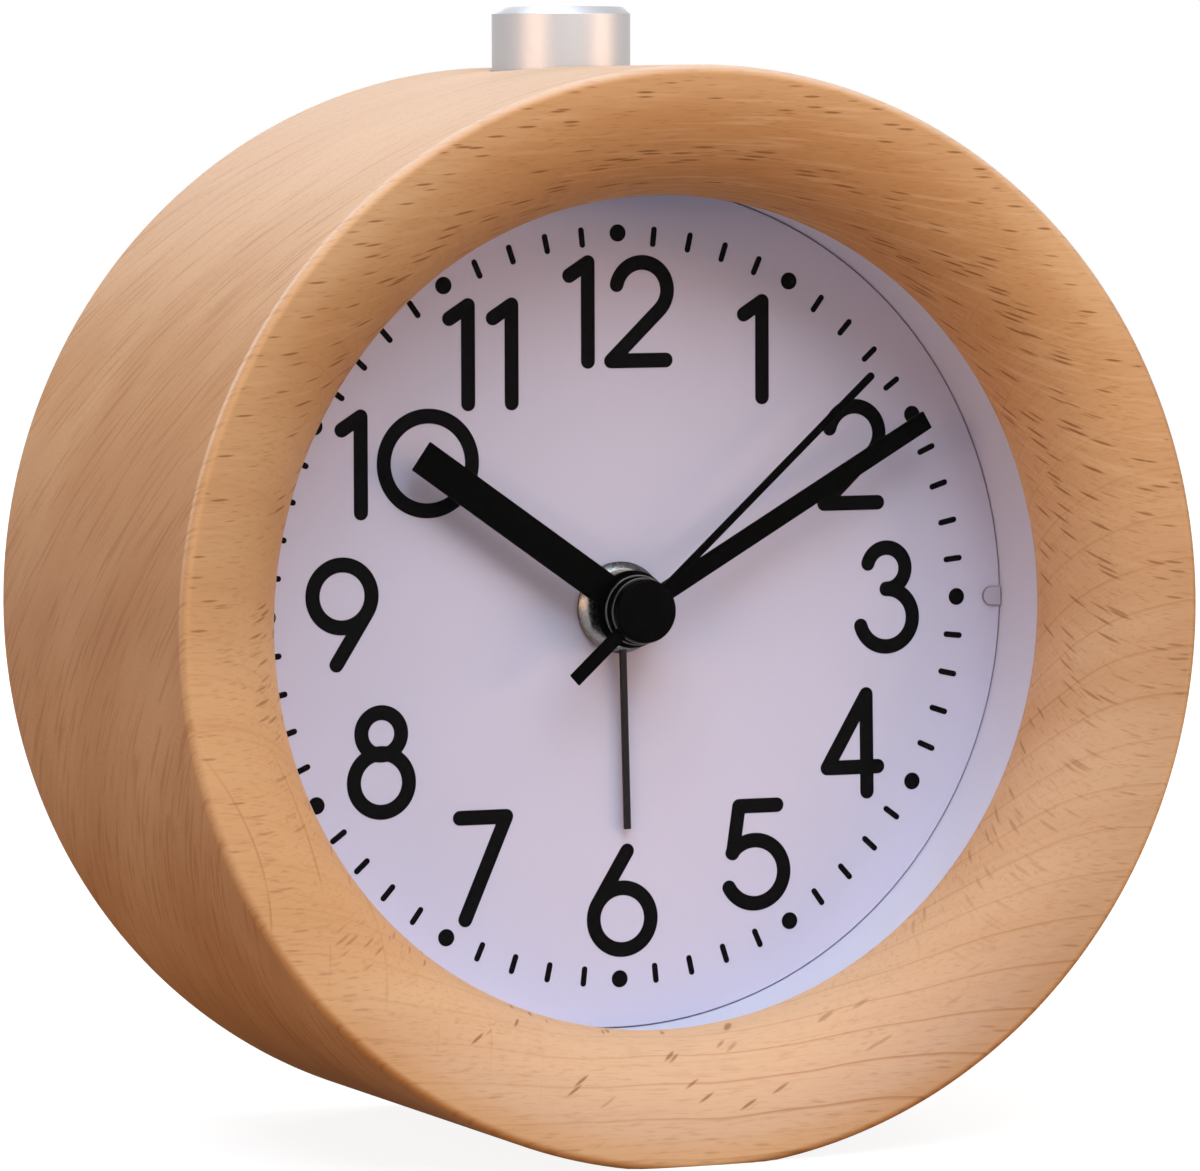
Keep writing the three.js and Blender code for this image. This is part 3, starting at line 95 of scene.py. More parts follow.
# Smoothness of round shapes
SIDES_CASE = 256
SIDES_DIAL = 192
SIDES_HUB = 72
SIDES_SMALL = 40
SHARP = 32  # degrees: a crease sharper than this is an edge
SOFTENED = 40  # degrees: soften() rounds edges sharper than this


def polar(radius, degrees, centre=(0, 0)):
    turn = math.radians(degrees)
    return centre[0] + radius * math.cos(turn), centre[1] + radius * math.sin(turn)


def arc(centre, radius, start, end, steps=8):
    return [polar(radius, start + (end - start) * i / steps, centre) for i in range(steps + 1)]


def at(x, y, z):
    """A point in millimetres, measured from the middle of the dial, as Blender metres."""
    return Vector((x, y, z + AXIS_Z)) * MM


# Shapes
def lathe(profile, sides, centre=(0, 0), upright=False):
    """Turns (radius, place) points into a closed skin, about the clock's axis or an upright one."""
    bm = bmesh.new()
    rings = []
    for radius, place in profile:
        count = 1 if radius == 0 else sides
        ring = []
        for k in range(count):
            a, b = polar(radius, 360 * k / sides, centre)
            ring.append(bm.verts.new(at(a, b, place) if upright else at(a, place, b)))
        rings.append(ring)
    on_axis = profile[0][0] == 0 and profile[-1][0] == 0
    pairs = list(zip(rings, rings[1:])) + ([] if on_axis else [(rings[-1], rings[0])])
    for low, high in pairs:
        for k in range(sides):
            corners = [low[k % len(low)], low[(k + 1) % len(low)],
                       high[(k + 1) % len(high)], high[k % len(high)]]
            bm.faces.new(list(dict.fromkeys(corners)))
    return bm


def rod(radius, front, rear, sides, centre=(0, 0), upright=False):
    return lathe([(0, front), (radius, front), (radius, rear), (0, rear)], sides, centre, upright)


def tube(inner, outer, front, rear, sides, centre=(0, 0)):
    return lathe([(inner, front), (outer, front), (outer, rear), (inner, rear)], sides, centre)


def skinned(rings):
    """A skin through rings of points, all of one length, with a face at both ends."""
    bm = bmesh.new()
    rings = [[bm.verts.new(point) for point in ring] for ring in rings]
    for near, far in zip(rings, rings[1:]):
        for k in range(len(near)):
            after = (k + 1) % len(near)
            bm.faces.new([near[k], near[after], far[after], far[k]])
    bm.faces.new(rings[0])
    bm.faces.new(rings[-1])
    return bm


def prism(points, along):
    """A flat face through points, drawn out along a vector."""
    bm = bmesh.new()
    face = bm.faces.new([bm.verts.new(point) for point in points])
    moved = bmesh.ops.extrude_face_region(bm, geom=[face])["geom"]
    verts = [v for v in moved if isinstance(v, bmesh.types.BMVert)]
    bmesh.ops.translate(bm, verts=verts, vec=along)
    return bm


def slab(outline, front, rear, turn=0):
    """A flat shape drawn in X and Z, turned clockwise about the dial's axis, thick along Y."""
    c, s = math.cos(math.radians(turn)), math.sin(math.radians(turn))
    points = [at(x * c + z * s, front, z * c - x * s) for x, z in outline]
    return prism(points, (0, (rear - front) * MM, 0))


def block(x0, x1, y0, y1, z0, z1, turn=0):
    return slab([(x0, z0), (x1, z0), (x1, z1), (x0, z1)], y0, y1, turn)


def soften(bm, width, segments=2):
    """Rounds the edges of a shape."""
    limit = math.radians(SOFTENED)
    edges = [e for e in bm.edges if e.is_manifold and e.calc_face_angle(0) > limit]
    bmesh.ops.recalc_face_normals(bm, faces=bm.faces)
    bmesh.ops.bevel(bm, geom=edges, offset=width * MM, segments=segments, profile=0.5,
                    affect="EDGES", clamp_overlap=True)
    return bm


def merged(*shapes):
    """Several skins in one mesh."""
    mesh = bpy.data.meshes.new("merged")
    total = bmesh.new()
    for bm in shapes:
        bmesh.ops.recalc_face_normals(bm, faces=bm.faces)
        bm.to_mesh(mesh)
        bm.free()
        total.from_mesh(mesh)
    bpy.data.meshes.remove(mesh)
    return total


def loose(bm, name):
    bmesh.ops.recalc_face_normals(bm, faces=bm.faces)
    mesh = bpy.data.meshes.new(name)
    bm.to_mesh(mesh)
    bm.free()
    obj = bpy.data.objects.new(name, mesh)
    SCENE.collection.objects.link(obj)
    return obj


def carved(bm, *tools, operation="DIFFERENCE"):
    """The shape with the tools cut out of it, or joined to it."""
    host = loose(bm, "host")
    others = [loose(tool, "tool") for tool in tools]
    for other in others:
        modifier = host.modifiers.new("carve", "BOOLEAN")
        modifier.operation, modifier.solver, modifier.object = operation, "EXACT", other
    ready = host.evaluated_get(bpy.context.evaluated_depsgraph_get())
    mesh = bpy.data.meshes.new_from_object(ready)
    result = bmesh.new()
    result.from_mesh(mesh)
    bpy.data.meshes.remove(mesh)
    for obj in (host, *others):
        data = obj.data
        bpy.data.objects.remove(obj)
        bpy.data.meshes.remove(data)
    return result


def piece(name, bm, body, slot, replaces=(), materials=()):
    """A finished piece that rides on a body, in its slot's finish or in materials of its own."""
    obj = loose(bm, name)
    for material in materials or [SLOTS[slot]]:
        obj.data.materials.append(material)
    obj.data.shade_smooth()
    obj.data.set_sharp_from_angle(angle=math.radians(SHARP))
    flat = obj.modifiers.new("even faces", "WEIGHTED_NORMAL")
    flat.keep_sharp = True
    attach(obj, body)
    if replaces:
        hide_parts(*replaces)
    return obj


# Materials
class Graph:
    """The node tree of a material or of the world, with short calls to add and link nodes."""

    def __init__(self, name, owner=None):
        self.owner = owner or bpy.data.materials.new(name)
        self.owner.use_nodes = True
        self.tree = self.owner.node_tree
        self.tree.nodes.clear()

    def add(self, kind, inputs=None, **settings):
        node = self.tree.nodes.new(kind)
        for name, value in settings.items():
            setattr(node, name, value)
        for key, value in (inputs or {}).items():
            if isinstance(value, bpy.types.NodeSocket):
                self.tree.links.new(value, node.inputs[key])
            else:
                node.inputs[key].default_value = value
        return node

    def millimetres(self):
        place = self.add("ShaderNodeTexCoord").outputs["Object"]
        return self.scaled(place, (1 / MM, 1 / MM, 1 / MM))

    def scaled(self, vector, scale):
        return self.add("ShaderNodeMapping", {"Vector": vector, "Scale": scale}).outputs[0]

    def turned(self, vector, rotation):
        return self.add("ShaderNodeMapping", {"Vector": vector, "Rotation": rotation}).outputs[0]

    def noise(self, vector, scale, detail=2.0, roughness=0.5):
        return self.add("ShaderNodeTexNoise", {"Vector": vector, "Scale": scale, "Detail": detail,
                                               "Roughness": roughness}).outputs[0]

    def grain(self, vector, scale, detail=2.0):
        """Noise that is stretched by the three numbers of the scale."""
        return self.noise(self.scaled(vector, scale), 1.0, detail)

    def cells(self, vector, scale):
        """Distance and colour of cells that are stretched by the scale."""
        node = self.add("ShaderNodeTexVoronoi", {"Vector": self.scaled(vector, scale), "Scale": 1.0,
                                                 "Randomness": 1.0})
        return node.outputs["Distance"], node.outputs["Color"]

    def saw(self, vector, scale, distortion, detail_scale, **settings):
        """Wavy lines that rise slowly and fall at once."""
        return self.add("ShaderNodeTexWave", {"Vector": vector, "Scale": scale, "Distortion": distortion,
                                              "Detail": 1.5, "Detail Scale": detail_scale},
                        wave_profile="SAW", **settings).outputs[1]

    def length(self, vector):
        return self.add("ShaderNodeVectorMath", {0: vector}, operation="LENGTH").outputs["Value"]

    def range(self, value, low, high, to_low=0.0, to_high=1.0, kind="SMOOTHSTEP"):
        return self.add("ShaderNodeMapRange", {"Value": value, "From Min": low, "From Max": high,
                                               "To Min": to_low, "To Max": to_high},
                        interpolation_type=kind).outputs[0]

    def math(self, operation, a, b=0.0):
        return self.add("ShaderNodeMath", {0: a, 1: b}, operation=operation).outputs[0]

    def times(self, *factors):
        product = factors[0]
        for factor in factors[1:]:
            product = self.math("MULTIPLY", product, factor)
        return product

    def seen(self):
        """1 for rays from the camera, straight or by way of a mirror or a lens, and 0 for other light."""
        path = self.add("ShaderNodeLightPath").outputs
        direct = self.math("MAXIMUM", path["Is Camera Ray"], path["Is Glossy Ray"])
        return self.math("MAXIMUM", direct, path["Is Transmission Ray"])

    def mix(self, factor, a, b, blend="MIX"):
        return self.add("ShaderNodeMix", {0: factor, 6: a, 7: b}, data_type="RGBA",
                        blend_type=blend).outputs[2]

    def bump(self, height, strength, depth):
        return self.add("ShaderNodeBump", {"Height": height, "Strength": strength,
                                           "Distance": depth * MM}).outputs[0]

    def finish(self, **inputs):
        """Ends the tree in a Principled shader; input names are written with underscores."""
        named = {key.replace("_", " "): value for key, value in inputs.items()}
        shader = self.add("ShaderNodeBsdfPrincipled", named).outputs[0]
        self.add("ShaderNodeOutputMaterial", {"Surface": shader})
        return self.owner


def tone(r, g, b):
    return (r, g, b, 1.0)


def shade(colour, factor):
    return tone(*(min(1.0, c * factor) for c in colour[:3]))


LAYER_TILT = math.radians(40)  # how far the growth layers lean
RAY_LEAN_LEFT, RAY_LEAN_RIGHT, RAY_LEAN_TOP = 0.34, 0.80, 1.1  # slope of the rays along the depth
RAY_PIVOT = -20.5  # the depth at which the slope leaves a ray where it is
FOOT_RAY_TURN = math.radians(28)  # how far the rays lean along the foot of the front
HEART = (-64, 0, 24)  # middle of the growth rings, as X, Y and height
# how fine the grain is along X, along the depth and along the height
BROAD_GRAIN, STREAK_GRAIN, FIBRE_GRAIN = (0.012, 0.03, 0.09), (0.05, 0.11, 2.7), (0.42, 3.4, 4.8)
FLECK_GRAIN, FOOT_FLECK_GRAIN, PORE_GRAIN = (0.27, 0.36, 2.0), (0.27, 0.30, 1.9), (0.5, 0.66, 3.8)
SHEEN_GRAIN, BREAK_GRAIN = (0.10, 0.16, 1.8), (0.11, 0.05, 0.11)
LINE_SCALE, ARC_SCALE = 0.10, 0.055
FLECK_STRENGTH = 0.78
WOOD_PALE = tone(0.71, 0.410, 0.210)
WOOD_MID = tone(0.62, 0.325, 0.150)
WOOD_LINE = tone(0.38, 0.155, 0.050)
WOOD_FLECK = tone(0.23, 0.088, 0.031)
# pale tone of the painted sheen along the rays
WOOD_PAINTED_SHEEN = tone(0.76, 0.465, 0.255)
# pale tone of the painted highlights on the wood
WOOD_PAINTED_HIGHLIGHT = tone(0.68, 0.475, 0.350)
# painted shade for the side, its foot and the front, and the tone of the fine streaks, multiplied with the
# wood's colour
PAINTED_SHADE_SIDE = tone(0.80, 0.80, 0.80)
PAINTED_SHADE_FOOT = tone(1.0, 0.78, 0.52)
PAINTED_SHADE_RIGHT = tone(0.83, 0.86, 0.98)
PAINTED_SHADE_LEFT = tone(0.86, 0.87, 0.88)
PAINTED_SHADE_TOP = tone(0.88, 0.80, 0.70)
STAIN_STREAK = tone(0.66, 0.55, 0.46)


def make_wood():
    g = Graph("beech")
    times = g.times
    mm = g.millimetres()
    x, depth, height = g.add("ShaderNodeSeparateXYZ", {0: mm}).outputs
    normal = g.add("ShaderNodeNewGeometry").outputs["Normal"]
    ahead = g.math("ABSOLUTE", g.add("ShaderNodeSeparateXYZ", {0: normal}).outputs["Y"])
    spoke = g.add("ShaderNodeCombineXYZ", {0: x, 2: g.math("SUBTRACT", height, AXIS_Z)}).outputs[0]
    radius = g.length(spoke)
    side = g.range(radius, CASE_R - 0.8, CASE_R - 0.2)
    front = g.range(radius, CASE_R - 0.4, CASE_R - 1.1)
    layers = g.turned(mm, (LAYER_TILT, 0, 0))
    # the rays lean along the depth, more to the right and most at the top
    lean = g.range(x, -CASE_R, CASE_R, RAY_LEAN_LEFT, RAY_LEAN_RIGHT, "LINEAR")
    rise = times(g.range(height, 58, 84), g.math("SUBTRACT", RAY_LEAN_TOP, lean))
    shift = times(g.math("ADD", lean, rise), g.math("SUBTRACT", depth, RAY_PIVOT))
    rays = g.add("ShaderNodeCombineXYZ", {0: x, 1: depth, 2: g.math("SUBTRACT", height, shift)}).outputs[0]
    broad = g.grain(layers, BROAD_GRAIN, 3.0)
    streak = g.grain(layers, STREAK_GRAIN, 1.0)
    fibre = g.grain(layers, FIBRE_GRAIN)
    colour = g.mix(g.range(broad, 0.32, 0.70), WOOD_MID, WOOD_PALE)
    # painted highlight: paler at the top of the round side and at the foot of the front, where the light
    # from above falls
    painted_side_highlight = times(g.range(height, 66, 99, 0.0, 0.75), side)
    painted_foot_highlight = times(g.range(height, 26, 2, 0.0, 0.55), front, g.range(radius, 49.2, 46.0, 0.25, 1.0))
    colour = g.mix(g.math("MAXIMUM", painted_side_highlight, painted_foot_highlight), colour, WOOD_PAINTED_HIGHLIGHT)
    # painted shade: darker round the middle of the side, redder at its foot, and on the flanks and top of
    # the front
    for painted_shade, mask in ((PAINTED_SHADE_SIDE, times(side, g.range(height, 92, 72), g.range(height, 36, 52), 0.70)),
                        (PAINTED_SHADE_FOOT, times(side, g.range(height, 34, 8))),
                        (PAINTED_SHADE_RIGHT, times(front, g.range(x, 5, 38), g.range(height, 74, 40))),
                        (PAINTED_SHADE_LEFT, times(front, g.range(x, -10, -34), g.range(height, 38, 58))),
                        (PAINTED_SHADE_TOP, times(front, g.range(height, 62, 80), g.range(radius, 48.6, 45.0)))):
        colour = g.mix(mask, colour, painted_shade, "MULTIPLY")
    # painted highlight: a paler edge along the upper crest
    crest = times(g.range(ahead, 0.05, 0.30), g.range(ahead, 0.72, 0.45), g.range(height, 40, 75, 0.0, 0.9),
                  g.range(depth, -22.5, -24.2))
    colour = g.mix(crest, colour, WOOD_PAINTED_HIGHLIGHT)
    # fine short lines, clear on the round side and faint on the front
    shown = times(g.range(streak, 0.53, 0.68), g.range(side, 0.0, 1.0, 0.10, 0.42),
                  g.range(height, 98, 80, 0.50, 1.0))
    colour = g.mix(shown, colour, STAIN_STREAK, "MULTIPLY")
    # growth lines, thin and darker, a few millimetres apart, mostly low on the right
    bands = g.saw(layers, LINE_SCALE, 2.4, 0.5, wave_type="BANDS", bands_direction="Z")
    line = times(g.range(bands, 0.90, 0.985), g.range(bands, 1.0, 0.99), g.range(height, 75, 35, 0.10, 0.62),
                 g.range(broad, 0.30, 0.65, 1.0, 0.40), g.range(x, -25, 15, 0.25, 1.0))
    colour = g.mix(line, colour, WOOD_LINE)
    # growth arcs low on the left, about a heart outside the case
    heart = g.add("ShaderNodeVectorMath", {0: mm, 1: HEART}, operation="SUBTRACT").outputs[0]
    rings = g.saw(heart, ARC_SCALE, 3.0, 0.4, wave_type="RINGS", rings_direction="Y")
    broken = g.range(g.grain(mm, BREAK_GRAIN), 0.46, 0.60)
    arcs = times(g.range(rings, 0.94, 0.988), g.range(rings, 1.0, 0.992), front, broken,
                 g.range(x, -12, -28, 0.0, 0.45), g.range(height, 46, 28))
    colour = g.mix(arcs, colour, WOOD_LINE)
    colour = g.mix(g.range(fibre, 0.50, 0.80, 0.0, 0.30), colour, WOOD_LINE)
    # where the cut runs along the rays, what follows is weak
    facing = g.add("ShaderNodeVectorMath", {0: normal, 1: (0, -math.sin(LAYER_TILT), math.cos(LAYER_TILT))},
                   operation="DOT_PRODUCT").outputs["Value"]
    across = times(g.range(g.math("ABSOLUTE", facing), 0.92, 0.55, 0.15, 1.0), front)
    # painted sheen: lighter streaks along the rays
    sheen_noise = g.grain(rays, SHEEN_GRAIN)
    painted_sheen = times(g.range(sheen_noise, 0.50, 0.72, 0.0, 0.34), across, g.range(x, -30, 10, 0.4, 1.0),
                    g.range(height, 45, 72, 0.3, 1.0))
    colour = g.mix(painted_sheen, colour, WOOD_PAINTED_SHEEN)
    # pores, shorter, thinner and paler than the flecks
    middle, chance = g.cells(rays, PORE_GRAIN)
    pore = times(g.range(middle, 0.38, 0.12), across, g.range(chance, 0.50, 0.60, 0.0, 0.40))
    colour = g.mix(pore, colour, WOOD_LINE)
    # ray flecks, short dark dashes on the front, fewer on the left and thinner towards the crest
    middle, chance = g.cells(rays, FLECK_GRAIN)
    fewer = times(g.range(x, 10, -30, 0.0, 0.10), g.range(height, 78, 55))
    chosen = g.math("SUBTRACT", chance, fewer)
    reach = times(middle, g.range(radius, 42.0, 48.5, 0.88, 1.2))
    fleck = times(g.range(reach, 0.38, 0.14), g.range(chosen, 0.53, 0.59), across,
                  g.range(height, 25, 70, 0.55, 1.0))
    # flecks along the foot, where the cut shows other rays
    middle, chance = g.cells(g.turned(mm, (0, FOOT_RAY_TURN, 0)), FOOT_FLECK_GRAIN)
    foot_fleck = times(g.range(middle, 0.36, 0.14), g.range(chance, 0.66, 0.72),
                       front, g.range(height, 32, 14), g.range(x, 30, 0, 0.2, 0.9))
    fleck = g.math("MAXIMUM", fleck, foot_fleck)
    colour = g.mix(times(fleck, FLECK_STRENGTH), colour, WOOD_FLECK)
    relief = g.math("SUBTRACT", times(fibre, 0.5), g.math("ADD", fleck, times(shown, 0.6)))
    rough = g.range(streak, 0.3, 0.75, 0.50, 0.60, "LINEAR")
    return g.finish(Base_Color=colour, Roughness=rough, Specular_IOR_Level=0.0,
                    Sheen_Weight=0.14, Sheen_Roughness=0.40, Sheen_Tint=tone(1.0, 0.94, 0.90),
                    Normal=g.bump(relief, 0.35, 0.05))


def make_grained(name, colour, roughness, grain, vary, bump=0.12, depth=0.01, **more):
    """An even finish with fine grain: moulded plastic, card, paint or plated metal."""
    g = Graph(name)
    mm = g.millimetres()
    fine = g.noise(mm, grain, 3.0, 0.6)
    wide = g.noise(mm, 0.07, 2.0)
    base = g.mix(g.range(wide, 0.3, 0.7), shade(colour, 1 - vary), shade(colour, 1 + vary))
    base = g.mix(g.range(fine, 0.35, 0.75, 0.0, 0.5), base, shade(colour, 1 - 2 * vary))
    rough = g.range(fine, 0.3, 0.7, roughness - 0.05, roughness + 0.05, "LINEAR")
    return g.finish(Base_Color=base, Roughness=rough, Normal=g.bump(fine, bump, depth), **more)


def make_brushed(name, colour, roughness, stretch, vary=0.08, metallic=1.0):
    """Metal with fine lines along one direction."""
    g = Graph(name)
    lines = g.noise(g.scaled(g.millimetres(), stretch), 1.0, 3.0, 0.6)
    base = g.mix(lines, shade(colour, 1 - vary), shade(colour, 1 + vary))
    rough = g.range(lines, 0.3, 0.7, roughness - 0.06, roughness + 0.06, "LINEAR")
    return g.finish(Base_Color=base, Metallic=metallic, Roughness=rough, Normal=g.bump(lines, 0.12, 0.01))


def make_winding():
    """Fine enamelled wire, wound side by side along X."""
    g = Graph("winding")
    mm = g.millimetres()
    turns = g.add("ShaderNodeTexWave", {"Vector": mm, "Scale": 1.4, "Distortion": 0.4},
                  wave_type="BANDS", bands_direction="X").outputs[1]
    base = g.mix(turns, tone(0.30, 0.075, 0.02), tone(0.55, 0.17, 0.055))
    return g.finish(Base_Color=base, Metallic=1.0, Roughness=0.32, Normal=g.bump(turns, 0.6, 0.06))


def make_board():
    """Solder mask with faint tracks under it."""
    g = Graph("board")
    mm = g.millimetres()
    tracks = g.add("ShaderNodeTexBrick", {"Vector": g.turned(mm, (math.pi / 2, 0, 0)), "Scale": 0.5,
                                          "Color1": tone(0.03, 0.11, 0.048),
                                          "Color2": tone(0.026, 0.095, 0.04),
                                          "Mortar": tone(0.05, 0.17, 0.07),
                                          "Mortar Size": 0.05}).outputs[0]
    fine = g.noise(mm, 3.0)
    return g.finish(Base_Color=tracks, Roughness=g.range(fine, 0.3, 0.7, 0.32, 0.45, "LINEAR"),
                    Normal=g.bump(fine, 0.1, 0.01))


def make_cell():
    """Printed sleeve of the battery cell: dark, with a pale band near the positive end."""
    g = Graph("cell")
    mm = g.millimetres()
    along = g.add("ShaderNodeSeparateXYZ", {0: mm}).outputs["X"]
    fine = g.noise(mm, 2.0, 3.0)
    sleeve = g.mix(fine, tone(0.036, 0.042, 0.052), tone(0.052, 0.060, 0.071))
    band = g.times(g.range(along, 11.9, 12.1), g.range(along, 20.1, 19.9))
    base = g.mix(band, sleeve, tone(0.42, 0.43, 0.45))
    ends = g.math("MAXIMUM", g.range(along, 23.6, 23.7), g.range(along, -24.8, -24.9))
    base = g.mix(ends, base, tone(0.60, 0.59, 0.57))
    return g.finish(Base_Color=base, Metallic=ends, Roughness=0.34, Normal=g.bump(fine, 0.05, 0.01))


# painted shade: grey for the faces of the white pegs, darker for their sides
PEG_PAINTED_SHADE = make_grained("pegs with painted shade", (0.50, 0.46, 0.55), 0.5, 3.0, 0.02, Specular_IOR_Level=0.3)
PEG_SIDE_PAINTED_SHADE = make_grained("peg sides with painted shade", (0.20, 0.185, 0.22), 0.5, 3.0, 0.02, Specular_IOR_Level=0.3)
INK = make_grained("dial ink", (0.0032, 0.0030, 0.0034), 0.55, 3.0, 0.1, 0.1, Specular_IOR_Level=0.03)
BLACK_METAL = make_grained("black hands", (0.0008, 0.0008, 0.0008), 0.34, 6.0, 0.12, 0.05, 0.006,
                           Specular_IOR_Level=0.018)
# painted highlight: paler metal on the rims of the hubs
RIM_PAINTED_HIGHLIGHT = make_grained("rim painted highlight", (0.10, 0.095, 0.095), 0.30, 6.0, 0.12, 0.05, 0.006, Metallic=1.0)
MARK_WHITE = make_grained("marks", (0.42, 0.42, 0.42), 0.55, 3.0, 0.03)
HUB_NICKEL = make_brushed("hub nickel", (0.19, 0.185, 0.185), 0.28, (2.0, 2.0, 2.0))
SHADED_NICKEL = make_brushed("shaded nickel", (0.09, 0.086, 0.086), 0.34, (2.0, 2.0, 2.0))
DARK_NICKEL = make_brushed("dark nickel", (0.018, 0.016, 0.017), 0.36, (3.0, 3.0, 0.4))
SLOTS = {
    "wood": make_wood(),
    "clear_plastic": make_grained("lens", (0.05, 0.05, 0.055), 0.08, 0.5, 0.02, 0.01, 0.002, Alpha=0.008),
    "dial_white": make_grained("dial card", (0.626, 0.582, 0.722), 0.62, 2.2, 0.012, 0.10,
                               Specular_IOR_Level=0.3),
    "white_plastic": make_grained("white plastic", (0.63, 0.62, 0.73), 0.48, 3.0, 0.015,
                                  Specular_IOR_Level=0.3),
    "black_metal": BLACK_METAL,
    "black_plastic": make_grained("black plastic", (0.013, 0.013, 0.014), 0.50, 2.6, 0.12, 0.55, 0.05,
                                  Specular_IOR_Level=0.4),
    "nickel": make_brushed("nickel", (0.50, 0.49, 0.48), 0.30, (2.0, 2.0, 2.0)),
    "satin_silver": make_brushed("satin silver", (0.455, 0.45, 0.465), 0.46, (3.5, 3.5, 3.0), 0.07, 0.75),
    "steel": make_brushed("zinc steel", (0.40, 0.41, 0.42), 0.34, (3.0, 1.0, 3.0)),
    "brass": make_brushed("brass", (0.60, 0.39, 0.11), 0.30, (3.0, 0.6, 3.0)),
    "gear_plastic": make_grained("gear plastic", (0.80, 0.76, 0.66), 0.42, 2.0, 0.03),
    "copper": make_winding(),
    "board_green": make_board(),
    "cell_sleeve": make_cell(),
}
for part in frame["record"]["subparts"]:
    node = NODES[part["node"]]
    node.data.materials.clear()
    node.data.materials.append(SLOTS[part["material_slot"]])


# Wooden case: a turned ring with a dished front, flat underneath, with a hole for the button
DISH_STEPS = 28
SIDE_LOOPS = (20, 14, 8, 2, -4, -10, -16, -21)  # depths at which the round side is divided
HOLE_LOW, HOLE_HIGH = 30, 60  # well past both sides of the wall


def make_case():
    crest = arc((CASE_R - FRONT_ROUND, CASE_FRONT + FRONT_ROUND), FRONT_ROUND, 0, -CREST_TURN, 14)
    start, end = crest[-1], (OPENING_R, DISH_END)
    slope = []
    for i in range(1, DISH_STEPS):
        share = i / DISH_STEPS
        bulge = 4 * share * (1 - share) * DISH_BULGE
        slope.append((start[0] + (end[0] - start[0]) * share - bulge,
                      start[1] + (end[1] - start[1]) * share - bulge))
    lip = arc((OPENING_R + LIP_ROUND, DISH_END + LIP_ROUND / 2), LIP_ROUND, 222, 180, 4)
    profile = [
        *arc((CASE_R - REAR_ROUND, CASE_REAR - REAR_ROUND), REAR_ROUND, 90, 0, 8),
        *[(CASE_R, y) for y in SIDE_LOOPS],
        *crest, *slope, *lip,
        (OPENING_R, LIP_REAR), (BORE_R, LIP_REAR),
        (BORE_R, CASE_REAR - BORE_CHAMFER), (BORE_R + BORE_CHAMFER, CASE_REAR),
    ]
    ring = lathe(profile, SIDES_CASE)
    for vert in ring.verts:
        vert.co.z = max(vert.co.z, 0)
    hole = rod(BUTTON_HOLE_R, HOLE_LOW, HOLE_HIGH, SIDES_HUB, (0, BUTTON_Y), upright=True)
    return carved(ring, hole)


piece("case_turned", make_case(), "case", "wood", ["wood_case"])


# Dial with slots for its two pegs, and a smooth lining of the frame round it
DIAL_EDGE = 0.06
PEG_PROUD, PEG_BEVEL = 0.35, 0.08
LINING_R = 39.22  # just inside the flats of the frame's wall
LINING_SUNK, LINING_GAP = 0.3, 0.1  # into the wall, and behind the lens


def peg_outline(side, radius, reach):
    """The round-ended shape of a peg's slot, open towards the dial's edge."""
    return [*arc((side * PEG_AT, 0), radius, 90, 90 + side * 180, 16),
            (side * reach, -radius), (side * reach, radius)]


def make_dial():
    disc = lathe([(DIAL_HOLE_R, DIAL_FACE), (DIAL_R - DIAL_EDGE, DIAL_FACE), (DIAL_R, DIAL_FACE + DIAL_EDGE),
                  (DIAL_R, DIAL_REAR), (DIAL_HOLE_R, DIAL_REAR)], SIDES_DIAL)
    slots = [slab(peg_outline(side, PEG_SLOT_R, DIAL_R + 1), DIAL_FACE - 1, DIAL_REAR + 1)
             for side in (-1, 1)]
    return carved(disc, *slots)


def make_pegs():
    """Two pegs that stand a little proud, grey with painted shade; their sides take the second material, a
    darker painted shade.
    """
    caps = [soften(slab(peg_outline(side, PEG_CAP_R, DIAL_R), DIAL_FACE - PEG_PROUD, DIAL_REAR), PEG_BEVEL)
            for side in (-1, 1)]
    pegs = merged(*caps)
    for face in pegs.faces:
        face.material_index = 0 if face.normal.y < -0.9 else 1
    return pegs


piece("dial_card", make_dial(), "case", "dial_white", ["dial"])
piece("dial_peg_caps", make_pegs(), "case", "white_plastic", materials=[PEG_PAINTED_SHADE, PEG_SIDE_PAINTED_SHADE])
piece("frame_lining",
      tube(LINING_R, FRAME_BORE_R + LINING_SUNK, LENS_REAR + LINING_GAP, DIAL_REAR, SIDES_DIAL),
      "case", "white_plastic")

# Print on the dial
PRINT_REAR, PRINT_FRONT = DIAL_FACE + 0.01, DIAL_FACE - 0.025
STROKE = 0.69  # half the width of a numeral's line
FLAG_W, FLAG_H = 1.85, 1.17  # of a one
TWO_BOW, TWO_BOW_R, TWO_FOOT_L = (3.09, 6.5), 2.56, 5.5  # middle and radius of its bow, length of its foot
TAILED_R = 2.88  # of a six and a nine


def ribbon(points, half, front=PRINT_FRONT, rear=PRINT_REAR):
    """A line with round ends, drawn on the dial through smooth points."""
    line = [Vector(p) for p in points]
    left, right = [], []
    for i, p in enumerate(line):
        along = (line[min(i + 1, len(line) - 1)] - line[max(i - 1, 0)]).normalized()
        side = Vector((-along.y, along.x)) * half
        left.append(p + side)
        right.append(p - side)
    first = math.degrees(math.atan2(*(left[0] - line[0]).yx))
    last = math.degrees(math.atan2(*(right[-1] - line[-1]).yx))
    outline = [*right, *arc(line[-1], half, last, last + 180, 10)[1:-1],
               *reversed(left), *arc(line[0], half, first, first + 180, 10)[1:-1]]
    return slab([tuple(p) for p in outline], front, rear)


def hoop(centre, radius):
    return tube(radius - STROKE, radius + STROKE, PRINT_FRONT, PRINT_REAR, SIDES_HUB, centre)


